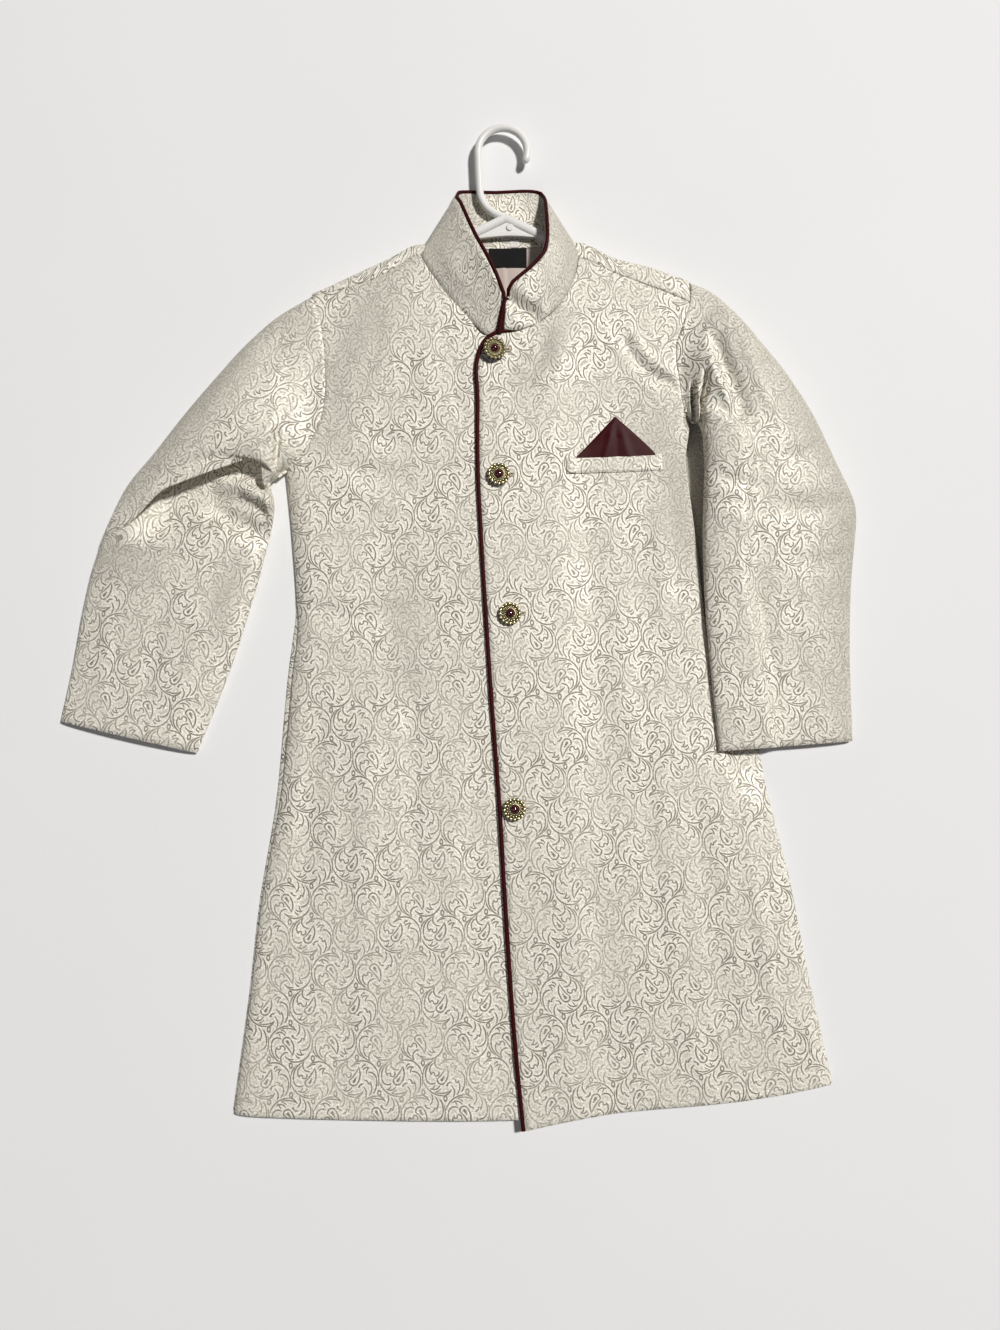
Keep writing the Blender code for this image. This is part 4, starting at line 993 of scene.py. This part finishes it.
BUTTON_DOME = ((0.0, 1.55), (3.4, 1.6), (4.1, 1.5), (4.7, 1.9), (5.2, 1.75), (6.6, 1.55), (7.3, 1.5),
               (7.7, 1.75), (9.2, 1.6), (9.75, 1.1), (9.6, 0.5), (8.6, 0.15), (3.5, 0.0), (0.0, 0.0))
RIM_BEADS = {"count": 16, "ring": 8.55, "radius": 1.42, "z": 1.75}
INNER_BEADS = {"count": 16, "ring": 6.35, "radius": 0.72, "z": 1.75}
STONE_BEADS = {"count": 18, "ring": 4.45, "radius": 0.42, "z": 1.95}
STONE_PROFILE = ((0.0, 4.0), (0.9, 3.92), (1.9, 3.6), (2.8, 3.05), (3.5, 2.3), (3.75, 1.65), (0.0, 1.6))
SHANK_PROFILE = ((1.9, 0.4), (1.5, -0.8), (1.6, -2.4), (2.0, -3.0))
BEAD_RINGS = 6
BEAD_SIDES = 10
HOLE = {"length": 24.0, "half": 1.5, "shift": 1.5, "bar": (0.75, 0.42), "stitch": 0.08}
HOLE_STEPS = 66
HOLE_SIDES = 9


def own_place(points):
    """Distance from a turned part's axis, and height along it."""
    points = np.asarray(points, float)
    return np.stack([np.hypot(points[:, 0], points[:, 1]), points[:, 2]], axis=1)


def tilted(points, centre, tilt):
    """Points of a button, leaned about Y and moved to their place."""
    lean = math.radians(tilt)
    x, y, z = np.asarray(points, float).T
    return np.stack([centre[0] + x * math.cos(lean) + z * math.sin(lean), centre[1] + y,
                     centre[2] - x * math.sin(lean) + z * math.cos(lean)], axis=1)


def lathe(profile, sides, verts, faces):
    """Adds a turned body to lists of points and faces."""
    faces += loft(len(verts), len(profile), sides)
    for radius, z in profile:
        radius = max(radius, 0.001)
        for turn in range(sides):
            angle = 2 * math.pi * turn / sides
            verts.append((radius * math.cos(angle), radius * math.sin(angle), z))


def bead(centre, radii, turn, verts, faces):
    """Adds one bead, longer along its own radius of the button."""
    faces += loft(len(verts), BEAD_RINGS + 1, BEAD_SIDES)
    ca, sa = math.cos(turn), math.sin(turn)
    for ring in range(BEAD_RINGS + 1):
        polar = math.pi * ring / BEAD_RINGS
        for side in range(BEAD_SIDES):
            angle = 2 * math.pi * side / BEAD_SIDES
            x = radii[0] * max(math.sin(polar), 0.02) * math.cos(angle)
            y = radii[1] * max(math.sin(polar), 0.02) * math.sin(angle)
            verts.append((centre[0] + x * ca - y * sa, centre[1] + x * sa + y * ca,
                          centre[2] + radii[2] * math.cos(polar)))


def bead_ring(spec, stretch, verts, faces, offset=0.0):
    """Adds the beads of one ring, offset by a share of their spacing."""
    for k in range(spec["count"]):
        turn = 2 * math.pi * (k + offset) / spec["count"]
        centre = (spec["ring"] * math.cos(turn), spec["ring"] * math.sin(turn), spec["z"])
        bead(centre, [spec["radius"] * share for share in stretch], turn, verts, faces)


def button(number, x, y, tilt, gilt, stone, thread):
    """Cast filigree button with a cabochon, on a thread shank."""
    lift = BUTTON_STAND + BUTTON_RADIUS * math.sin(math.radians(tilt))
    centre = (x, y, float(over_height(x, y)) + lift)
    verts, faces = [], []
    lathe(BUTTON_DOME, 64, verts, faces)
    bead_ring(RIM_BEADS, (0.98, 1.0, 0.75), verts, faces)
    bead_ring(INNER_BEADS, (1.35, 0.85, 0.8), verts, faces, 0.5)
    bead_ring(STONE_BEADS, (1.0, 1.25, 1.0), verts, faces)
    disc = finish_mesh(f"button_{number}_filigree", tilted(verts, centre, tilt), faces, [gilt],
                       uv=own_place(verts), sharp=45)
    stands_for(f"button_{number}")
    verts, faces = [], []
    lathe(STONE_PROFILE, 48, verts, faces)
    cabochon = finish_mesh(f"button_{number}_cabochon", tilted(verts, centre, tilt), faces, [stone])
    stands_for(f"button_stone_{number}")
    verts, faces = [], []
    lathe(SHANK_PROFILE, 16, verts, faces)
    shank = finish_mesh(f"button_{number}_shank", tilted(verts, centre, tilt), faces, [thread],
                        uv=own_place(verts))


def buttonhole(number, x, y, thread, shadow):
    """Bar of buttonhole stitches round a slit, lying across the over front under a button."""
    x += HOLE["shift"]
    reach, half = HOLE["length"] / 2, HOLE["half"]
    turn = 2 * math.pi * np.arange(HOLE_STEPS) / HOLE_STEPS
    path_x = x + (reach - half) * np.clip(1.6 * np.cos(turn), -1, 1) + half * np.cos(turn)
    path = np.stack([path_x, y + half * 0.75 * np.clip(1.8 * np.sin(turn), -1, 1)], axis=1)
    along = unit(np.roll(path, -1, axis=0) - np.roll(path, 1, axis=0))
    across = np.stack([along[:, 1], -along[:, 0]], axis=1)
    angle = 2 * math.pi * np.arange(HOLE_SIDES) / HOLE_SIDES
    stitch = HOLE["stitch"] * (np.arange(HOLE_STEPS) % 2)[:, None]
    wide, high = ((bar + stitch) * wave for bar, wave in zip(HOLE["bar"], (np.cos(angle), np.sin(angle))))
    plan = path[:, None] + across[:, None] * wide[..., None]
    z = over_height(plan[..., 0], plan[..., 1]) + 0.1 + high
    near = np.arange(HOLE_STEPS * HOLE_SIDES).reshape(HOLE_STEPS, HOLE_SIDES)
    far = np.roll(near, -1, axis=0)
    faces = np.stack([near, np.roll(near, -1, axis=1), np.roll(far, -1, axis=1), far], axis=2)
    coords = np.stack(np.meshgrid(np.arange(HOLE_SIDES) * 0.5, np.arange(HOLE_STEPS) * 0.8), axis=2)
    ring = finish_mesh(f"buttonhole_{number}", np.dstack([plan, z]).reshape(-1, 3),
                       faces.reshape(-1, 4).tolist(), [thread], uv=coords.reshape(-1, 2))
    share, level = lattice((-1, 1, 21), (-1, 1, 3))
    slit_x = x + share * (reach - 0.6)
    slit_y = y + level * 0.4 * np.sqrt(1 - 0.9 * share ** 2)
    base = over_height(slit_x, slit_y)
    slit = slab(f"buttonhole_slit_{number}", slit_x, slit_y, base - 0.2, base + 0.12, shadow)


# ------------------------------------------------------------------ neck and hanger

LINING = {"x": (-54, 58), "y": (290, 372.4), "bottom": 1.7, "top": 2.3}
FACING = {"x": (-55, 57), "y": (373.0, 380.4), "bottom": 1.7, "top": 2.4}
TABS = {
    "neck_label": {"centre": (7.9, 363.8), "size": (33.5, 17.5), "top": 3.2, "slot": "black_label"},
    "size_tab": {"centre": (14.0, 376.6), "size": (7.5, 6.6), "top": 3.1, "slot": "white_tape"},
}
TAB_BOTTOM = 2.7
TAB_TURN = math.radians(-2.3)


def neck_pieces(brocade, lining, tab_finishes):
    """Facing, lining with its centre pleat, and two blank tabs inside the neck."""
    x, y = lattice((*LINING["x"], 57), (*LINING["y"], 31))
    pleat = 0.5 * np.exp(-((x - 3.5) / 1.6) ** 2) - 0.3 * np.exp(-((x - 7) / 1.2) ** 2)
    wave = 0.25 * np.sin(x / 7 + y / 19) + 0.2 * np.sin(y / 6.0 - x / 23)
    made = slab("neck_lining_cloth", x, y, LINING["bottom"], LINING["top"] + pleat + wave, lining)
    declare("back_lining")
    x, y = lattice((*FACING["x"], 57), (*FACING["y"], 9))
    share = (y - FACING["y"][0]) / (FACING["y"][1] - FACING["y"][0])
    top = FACING["top"] + 0.35 * np.sqrt(np.clip(4 * share * (1 - share), 0, 1))
    made = slab("neck_facing_cloth", x, y, FACING["bottom"], top, brocade, (1.0,))
    declare("back_neck_facing")
    for node, tab in TABS.items():
        width, height = tab["size"]
        across, up = lattice((-0.5, 0.5, 33), (-0.5, 0.5, 17))
        across, up = across * width, up * height
        x = tab["centre"][0] + across * math.cos(TAB_TURN) - up * math.sin(TAB_TURN)
        y = tab["centre"][1] + across * math.sin(TAB_TURN) + up * math.cos(TAB_TURN)
        rim = np.minimum(width / 2 - np.abs(across), height / 2 - np.abs(up))
        hem = 0.22 * np.exp(-((rim - 1.0) / 0.5) ** 2) + 0.15 * np.sin(across / 6.0)
        made = slab(f"{node}_blank", x, y, TAB_BOTTOM, tab["top"] + hem, tab_finishes[node])
        declare(node)


HANGER_Z = 7.6
HANGER_ARMS = ((-150, 325.0), (-100, 349.0), (-50, 371.8), (7.5, 397.5), (38, 380.5), (62, 363.5),
               (108, 341.5), (157, 317.0))
HANGER_ARM = (4.6, 4.0)
HANGER_WEB = ((-24, 379.6), (7.5, 381.4), (38, 378.4), (30, 385.5), (7.5, 396), (-15, 387.5))
WEB_THICKNESS = 3.2
BOSS_PROFILE = ((0.0, 1.9), (2.6, 1.8), (3.2, 1.2), (3.4, -1.0), (0.0, -1.0))
BOSS_PLACE = (10.5, 388.5, HANGER_Z + 1.0)
HOOK_BAR = 3.35
HOOK_Z = 9.4
HOOK_LOOP = 22.0
HOOK_CENTRE = (7.0, 458.0)
HOOK_STEM = ((6.5, 398.5, 7.6), (-4, 403.5, 8.4), (-11.5, 411, 9.2), (-14.6, 420, HOOK_Z), (-15, 436, HOOK_Z))


def hanger(plastic):
    """Smooth moulded hanger: arms, web with a rib and a boss, and hook."""
    arms = tube("hanger_arms", [(x, y, HANGER_Z) for x, y in HANGER_ARMS], *HANGER_ARM, plastic, sides=24)
    edges = [dense(HANGER_WEB[:3], 2.0), dense(HANGER_WEB[:2:-1], 2.0)]
    share = np.linspace(0, 1, min(len(edge) for edge in edges))
    low, high = (np.array([np.interp(share, np.linspace(0, 1, len(edge)), column) for column in edge.T])
                 for edge in edges)
    rise = np.linspace(0, 1, 9)[:, None]
    x, y = (low[axis] * (1 - rise) + high[axis] * rise for axis in (0, 1))
    rib = 0.6 * np.exp(-((rise - 0.12) / 0.1) ** 2)
    half = WEB_THICKNESS / 2
    web = slab("hanger_web", x, y, HANGER_Z - half, HANGER_Z + half + rib, plastic)
    turn = np.radians(np.linspace(180, -30, 15))
    loop = np.stack([HOOK_CENTRE[0] + HOOK_LOOP * np.cos(turn),
                     HOOK_CENTRE[1] + HOOK_LOOP * np.sin(turn), np.full(15, HOOK_Z)], axis=1)
    path = dense(np.concatenate([HOOK_STEM, loop]), 2.0)
    half = HOOK_BAR * ease((np.arange(len(path))[::-1] + 1.2) / 3.0)
    hook = tube("hanger_hook", path, half, half, plastic, sides=24)
    verts, faces = [], []
    lathe(BOSS_PROFILE, 32, verts, faces)
    boss = finish_mesh("hanger_boss", np.array(verts) + BOSS_PLACE, faces, [plastic], sharp=40)
    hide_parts("hanger")


# ------------------------------------------------------------------ finishes

class Graph:
    """Shorthand for building a material's nodes."""

    def __init__(self, name):
        self.material = bpy.data.materials.new(name)
        self.material.use_nodes = True
        self.tree = self.material.node_tree
        self.shader = self.tree.nodes["Principled BSDF"]

    def plug(self, socket, value):
        if hasattr(value, "is_linked"):
            self.tree.links.new(value, socket)
        else:
            socket.default_value = value

    def node(self, kind, inputs=(), **settings):
        made = self.tree.nodes.new(kind)
        for key, value in settings.items():
            setattr(made, key, value)
        for socket, value in (inputs.items() if isinstance(inputs, dict) else enumerate(inputs)):
            self.plug(made.inputs[socket], value)
        return made

    def math(self, operation, *values):
        return self.node("ShaderNodeMath", values, operation=operation).outputs[0]

    def vector(self, operation, *values):
        made = self.node("ShaderNodeVectorMath", values, operation=operation)
        scalar = operation in ("LENGTH", "DOT_PRODUCT")
        return made.outputs["Value" if scalar else "Vector"]

    def weave(self):
        return self.node("ShaderNodeUVMap", uv_map="weave").outputs["UV"]

    def place(self):
        return self.node("ShaderNodeTexCoord").outputs["Object"]

    def noise(self, vector, scale, detail=2.0):
        made = self.node("ShaderNodeTexNoise", {"Vector": vector, "Scale": scale, "Detail": detail})
        return made.outputs["Fac"]

    def step(self, value, low, high):
        """Smooth 0 to 1 as a value passes from low to high."""
        made = self.node("ShaderNodeMapRange", (value, low, high), interpolation_type="SMOOTHSTEP")
        return made.outputs["Result"]

    def span(self, value, low, high, start, end):
        return self.node("ShaderNodeMapRange", (value, low, high, start, end)).outputs["Result"]

    def blend(self, share, first, second, **settings):
        """Mix of two colours, each an (r, g, b) or a node's output."""
        made = self.node("ShaderNodeMix", {0: share}, data_type="RGBA", **settings)
        for socket, value in ((6, first), (7, second)):
            self.plug(made.inputs[socket], (*value, 1) if isinstance(value, tuple) else value)
        return made.outputs[2]

    def bump(self, height, distance, strength):
        made = self.node("ShaderNodeBump", {"Height": height, "Distance": distance, "Strength": strength})
        self.plug(self.shader.inputs["Normal"], made.outputs["Normal"])

    def finish(self, colour, roughness, **values):
        self.plug(self.shader.inputs["Base Color"], colour)
        self.plug(self.shader.inputs["Roughness"], roughness)
        for key, value in values.items():
            self.shader.inputs[key.replace("_", " ")].default_value = value
        return self.material


PITCH = 37.5                # from one medallion to the next along a row
ROW = 30.2                  # from one row to the next
MOTIF = PITCH / 2
# One medallion in units of half a pitch, y up: three points along each line, and its half width
STROKES = (
    (-0.05, 0.81, -0.62, 0.66, -0.97, 0.18, 0.026),      # left scroll
    (-0.99, 0.20, -0.93, -0.43, -0.42, -0.84, 0.026),
    (0.25, 0.55, 0.14, 0.73, -0.08, 0.82, 0.030),
    (0.22, 0.60, -0.10, 0.71, -0.45, 0.66, 0.024),
    (-0.43, 0.22, -0.67, 0.28, -0.86, 0.00, 0.028),
    (-0.86, 0.05, -0.84, -0.38, -0.45, -0.80, 0.026),
    (-0.68, 0.46, -0.42, 0.53, -0.25, 0.36, 0.026),      # leaves inside it
    (-0.60, 0.50, -0.52, 0.44, -0.49, 0.34, 0.024),
    (-0.44, 0.63, -0.31, 0.60, -0.22, 0.50, 0.020),
    (-0.60, -0.11, -0.69, -0.33, -0.50, -0.64, 0.025),
    (-0.62, -0.12, -0.55, -0.22, -0.47, -0.12, 0.024),
    (-0.50, -0.15, -0.37, -0.07, -0.31, -0.28, 0.026),
    (-0.10, -0.38, -0.39, -0.47, -0.38, -0.84, 0.026),   # lower stem
    (-0.25, -0.52, -0.10, -0.66, 0.13, -0.66, 0.028),
    (-0.12, -0.70, 0.50, -0.75, 0.92, -0.28, 0.028),     # right scroll
    (0.90, -0.34, 0.985, 0.00, 0.94, 0.36, 0.022),
    (0.58, 0.82, 0.86, 0.40, 0.86, -0.02, 0.028),
    (0.87, 0.04, 0.76, -0.20, 0.48, -0.27, 0.028),
    (0.55, 0.14, 0.66, 0.38, 0.50, 0.78, 0.024),         # leaves inside it
    (0.32, 0.07, 0.44, 0.11, 0.49, 0.25, 0.027),
    (0.47, 0.22, 0.55, 0.24, 0.62, 0.16, 0.022),
    (0.34, 0.90, 0.41, 0.60, 0.26, 0.37, 0.025),         # upper stem
    (0.07, 0.40, 0.13, 0.28, 0.30, 0.24, 0.027),
    (0.44, -0.22, 0.46, -0.38, 0.56, -0.48, 0.026),
    (0.28, -0.38, 0.40, -0.49, 0.58, -0.45, 0.026),
    (0.25, -0.48, 0.29, -0.58, 0.40, -0.62, 0.026),
    (0.06, -0.50, -0.12, -0.18, -0.34, 0.04, 0.028),     # paisley drop in the middle
    (-0.33, 0.02, -0.24, 0.29, 0.00, 0.20, 0.030),
    (-0.04, 0.24, 0.13, -0.08, 0.07, -0.50, 0.028),
)
DOTS = (
    (-0.15, 0.12, 0.060),
    (-0.10, 0.04, 0.048),
    (-0.05, -0.04, 0.032),
    (0.09, 0.36, 0.045),
    (0.36, -0.62, 0.040),
)
DROP = {"y": 0.95, "half": (0.07, 0.11), "width": 0.022}     # small drops between the medallions


def arc(x0, y0, x1, y1, x2, y2):
    """Centre, radius, facing and half spread of the arc through three points."""
    sides = np.array([[x1 - x0, y1 - y0], [x2 - x0, y2 - y0]]) * 2
    squares = [x1 ** 2 + y1 ** 2 - x0 ** 2 - y0 ** 2, x2 ** 2 + y2 ** 2 - x0 ** 2 - y0 ** 2]
    x, y = np.linalg.solve(sides, squares)
    middle = math.atan2(y1 - y, x1 - x)
    ends = [(math.atan2(py - y, px - x) - middle + math.pi) % (2 * math.pi) - math.pi
            for px, py in ((x0, y0), (x2, y2))]
    return x, y, math.hypot(x0 - x, y0 - y), middle + sum(ends) / 2, abs(ends[1] - ends[0]) / 2


def medallions(graph, point):
    """Lines of the jacquard: rows of medallions, every other row offset and turned over."""
    up = ROW / MOTIF
    even = graph.vector("WRAP", point, (1, up, 1), (-1, -up, -1))
    moved = graph.vector("ADD", point, (1, up, 0))
    odd = graph.vector("WRAP", moved, (1, up, 1), (-1, -up, -1))
    nearer = graph.math("LESS_THAN", graph.vector("LENGTH", odd), graph.vector("LENGTH", even))
    turned = graph.vector("MULTIPLY", odd, (1, -1, 1))
    place = graph.node("ShaderNodeMix", {0: nearer, 4: even, 5: turned}, data_type="VECTOR").outputs[1]
    folded = graph.vector("SUBTRACT", graph.vector("ABSOLUTE", place), (0, DROP["y"], 0))
    squeezed = graph.vector("MULTIPLY", folded, (1 / DROP["half"][0], 1 / DROP["half"][1], 0))
    off = graph.math("ABSOLUTE", graph.math("SUBTRACT", graph.vector("LENGTH", squeezed), 1.0))
    lines = graph.math("MULTIPLY_ADD", off, -DROP["half"][0], DROP["width"])
    for *points, width in STROKES:
        x, y, radius, facing, spread = arc(*points)
        arm = graph.vector("SUBTRACT", place, (x, y, 0))
        off = graph.math("ABSOLUTE", graph.math("SUBTRACT", graph.vector("LENGTH", arm), radius))
        slope = 2.5 * width / (1 - math.cos(spread))
        aim = (slope / radius * math.cos(facing), slope / radius * math.sin(facing), 0)
        taper = graph.math("SUBTRACT", graph.vector("DOT_PRODUCT", arm, aim), slope * math.cos(spread))
        lines = graph.math("MAXIMUM", lines, graph.math("SUBTRACT", graph.math("MINIMUM", taper, width), off))
    for x, y, radius in DOTS:
        arm = graph.vector("LENGTH", graph.vector("SUBTRACT", place, (x, y, 0)))
        lines = graph.math("MAXIMUM", lines, graph.math("SUBTRACT", radius, arm))
    return lines


def brocade(name, satin, matt, line):
    """Ivory jacquard: satin leaves on a matt ground, outlined by dark lines that fade at random in places,
    with painted shade that darkens the cloth and fades the lines along set paths.
    """
    graph = Graph(name)
    weave = graph.weave()
    lines = medallions(graph, graph.vector("MULTIPLY", weave, (1 / (MOTIF * MM),) * 3))
    worn = graph.step(graph.noise(weave, 23.0), 0.36, 0.60)
    # painted shade attribute: fades the lines and leaves where it is set
    painted_shade = graph.node("ShaderNodeAttribute", attribute_name="painted_shade").outputs["Fac"]
    clear = graph.math("MULTIPLY_ADD", worn, 0.40, 0.56)
    clear = graph.math("MULTIPLY", clear, graph.math("MULTIPLY_ADD", painted_shade, -0.75, 1.0))
    outline = graph.math("MULTIPLY", graph.step(lines, -0.022, 0.010), clear)
    leaf = graph.math("MULTIPLY", graph.step(lines, -0.17, -0.05), clear)
    threads = graph.noise(graph.vector("MULTIPLY", weave, (1500, 5200, 1)), 1.0, 1.0)
    specks = graph.noise(weave, 560.0, 3.0)
    tone = graph.math("MULTIPLY_ADD", specks, 1.5, graph.math("MULTIPLY_ADD", threads, 0.20, 0.15))
    # painted shade: darkens the cloth by up to about a quarter where the attribute is set
    tone = graph.math("MULTIPLY", tone, graph.math("MULTIPLY_ADD", painted_shade, -0.26, 1.0))
    cloth = graph.blend(outline, graph.blend(leaf, matt, satin), line)
    shaded = graph.blend(1.0, cloth, tone, blend_type="MULTIPLY")
    graph.bump(graph.math("MULTIPLY_ADD", threads, 0.4, graph.math("SUBTRACT", leaf, outline)), 0.00025, 0.6)
    graph.plug(graph.shader.inputs["Metallic"], graph.math("MULTIPLY", leaf, 0.15))
    return graph.finish(shaded, graph.span(leaf, 0, 1, 0.66, 0.50), Specular_IOR_Level=0.35,
                        Sheen_Weight=0.06, Sheen_Roughness=0.4, Anisotropic=0.25)


def ribbed(name, light, dark, rib, roughness, depth, **values):
    """Cloth or cord with slanting threads along its pattern coordinates."""
    graph = Graph(name)
    wave = graph.math("SINE", graph.vector("DOT_PRODUCT", graph.weave(), (*rib, 0)))
    fuzz = graph.noise(graph.weave(), 3200.0)
    thread = graph.math("MULTIPLY_ADD", wave, 0.5, graph.math("MULTIPLY_ADD", fuzz, 0.7, 0.15))
    graph.bump(thread, depth, 0.6)
    return graph.finish(graph.blend(thread, dark, light), roughness, **values)


def gilt():
    """Antique gilt: worn bright high spots over a dark patina in the hollows."""
    graph = Graph("antique_gilt_metal")
    part = graph.node("ShaderNodeSeparateXYZ", (graph.weave(),))
    wear = graph.noise(graph.weave(), 900.0, 3.0)
    high = graph.step(graph.math("MULTIPLY_ADD", wear, 0.0007, part.outputs["Y"]), 0.0018, 0.0028)
    graph.bump(wear, 0.00012, 0.5)
    colour = graph.blend(high, (0.040, 0.032, 0.016), (0.95, 0.85, 0.52))
    return graph.finish(colour, graph.span(high, 0, 1, 0.6, 0.28), Metallic=1.0)


def garnet():
    """Dark polished stone with a clear skin."""
    graph = Graph("garnet_stone_glass")
    colour = graph.blend(graph.noise(graph.place(), 260.0), (0.018, 0.002, 0.004), (0.075, 0.006, 0.010))
    return graph.finish(colour, 0.12, Coat_Weight=0.8, Coat_Roughness=0.04, IOR=1.6)


def plain(name, colour, roughness, scale, shade, depth=0.0, **values):
    """Plain plastic or paper, faintly mottled and, with a depth, uneven."""
    graph = Graph(name)
    mottle = graph.noise(graph.place(), scale)
    if depth:
        graph.bump(mottle, depth, 0.35)
    darker = tuple(shade * c for c in colour)
    return graph.finish(graph.blend(mottle, darker, colour), roughness, **values)


# ------------------------------------------------------------------ the coat

# Satin leaves, matt ground and dark lines of the brocade
IVORY = ((0.915, 0.880, 0.780), (0.655, 0.618, 0.530), (0.240, 0.212, 0.166))
RIBBED = {
    # light and dark colour, ribbing in radians per metre across and along, roughness, depth, other settings
    "pink_lining_satin": ((0.60, 0.50, 0.44), (0.50, 0.41, 0.36), (0, 9000), 0.5, 0.00004,
                          {"Sheen_Weight": 0.1}),
    "maroon_cord_satin": ((0.058, 0.002, 0.0035), (0.020, 0.0007, 0.0012), (2600, 3400), 0.6, 0.00010,
                          {"Specular_IOR_Level": 0.12}),
    "maroon_satin_silk": ((0.052, 0.0018, 0.003), (0.034, 0.0012, 0.002), (5200, 5200), 0.5, 0.00005,
                          {"Anisotropic": 0.4, "Specular_IOR_Level": 0.15}),
    "ivory_thread": ((0.72, 0.63, 0.50), (0.40, 0.33, 0.24), (0, 7800), 0.6, 0.0002, {}),
    "slit_shadow": ((0.055, 0.035, 0.025), (0.02, 0.012, 0.01), (3000, 0), 0.8, 0.0001, {}),
    "black_label_twill": ((0.012, 0.012, 0.012), (0.004, 0.004, 0.004), (9000, 9000), 0.7, 0.00006,
                          {"Specular_IOR_Level": 0.15}),
    "white_tape_twill": ((0.82, 0.80, 0.76), (0.66, 0.64, 0.60), (9000, 9000), 0.7, 0.00006, {}),
}


def shells(ivory, pink):
    """The coat's cloth pieces: brocade lined in pink, and the collar in brocade on both sides."""
    lined = (ivory, pink)
    back = back_grid()
    coords = np.dstack([back[..., 0], back[0, :, 1] + run_length(back[..., 1:])])
    made = walled("back_panel_cloth", back, coords, WALL, lined, facing=-1, lowest=0.0, turned=3)
    declare("back_panel")
    under = front_grid("front_under", UNDER_FRONT, -1, body_height)
    coords = grain(under, *UNDER_GRAIN)
    made = walled("front_under_cloth", under, coords, WALL, lined, facing=-1, lowest=FLOOR_TOP)
    declare("front_under")
    over = front_grid("front_over", OVER_FRONT, 1, over_height)
    made = walled("front_over_cloth", over, grain(over, *OVER_GRAIN), WALL, lined, lowest=FLOOR_TOP)
    declare("front_over")
    for name, rows, side in (("sleeve_right", RIGHT_SLEEVE, -1), ("sleeve_left", LEFT_SLEEVE, 1)):
        grid, coords = sleeve_grid(name, rows, side)
        made = walled(f"{name}_cloth", grid, coords, WALL, lined, facing=side, ring=True, lowest=WALL,
                      turned=SLEEVE_TURNED)
        declare(name)
    collar = collar_grid(10, 12)
    up = np.linalg.norm(collar - collar[:, :1], axis=2)
    coords = np.dstack([np.broadcast_to(run_length(collar[:, 0])[:, None], up.shape), up])
    made = walled("collar_band_cloth", collar, coords, COLLAR_WALL, (ivory, ivory))
    declare("collar_band")


def pipings(cord):
    """Satin piping on the edges of the collar and the over front."""
    line = collar_edge_line()
    half = np.full(len(line), PIPING)
    half[-len(COLLAR_END):] = COLLAR_END_WIDTH
    made = tube("collar_piping_cord", line, half, PIPING, cord)
    stands_for("collar_piping")
    line = front_edge_line()
    length = run_length(line)
    thin = 0.3 + 0.7 * ease((length[-1] - length) / TAPER)
    made = tube("front_piping_cord", line, EDGE_PIPING[0] * thin, EDGE_PIPING[1] * thin, cord)
    stands_for("front_piping")


def build():
    """The whole coat on its hanger."""
    ivory = brocade("ivory_brocade_weave", *IVORY)
    pink, cord, silk, thread, shadow, black, tape = (
        ribbed(name, *look, **extra) for name, (*look, extra) in RIBBED.items())
    white = plain("white_plastic_moulding", (0.84, 0.83, 0.80), 0.34, 90.0, 0.93, 0.0004, Coat_Weight=0.1)
    shells(ivory, pink)
    pipings(cord)
    pocket_welt(ivory)
    pocket_square(silk)
    metal, stone = gilt(), garnet()
    for number, (x, y, tilt) in enumerate(BUTTONS, start=1):
        button(number, x, y, tilt, metal, stone, thread)
        buttonhole(number, x, y, thread, shadow)
    neck_pieces(ivory, pink, {"neck_label": black, "size_tab": tape})
    hanger(white)


TABLE_HALF = 3.0            # in metres, as is its level
TABLE_Z = -0.0002


def make_table():
    """Pale table top under the coat."""
    mesh = bpy.data.meshes.new("table_top")
    corners = [(x * TABLE_HALF, y * TABLE_HALF, TABLE_Z) for x, y in ((-1, -1), (1, -1), (1, 1), (-1, 1))]
    mesh.from_pydata(corners, [], [(0, 1, 2, 3)])
    mesh.materials.append(plain("table_white", (0.86, 0.86, 0.86), 0.9, 5.0, 0.97, Specular_IOR_Level=0.1))
    placed("table_top", mesh)


build()
make_table()
make_light()
make_camera()
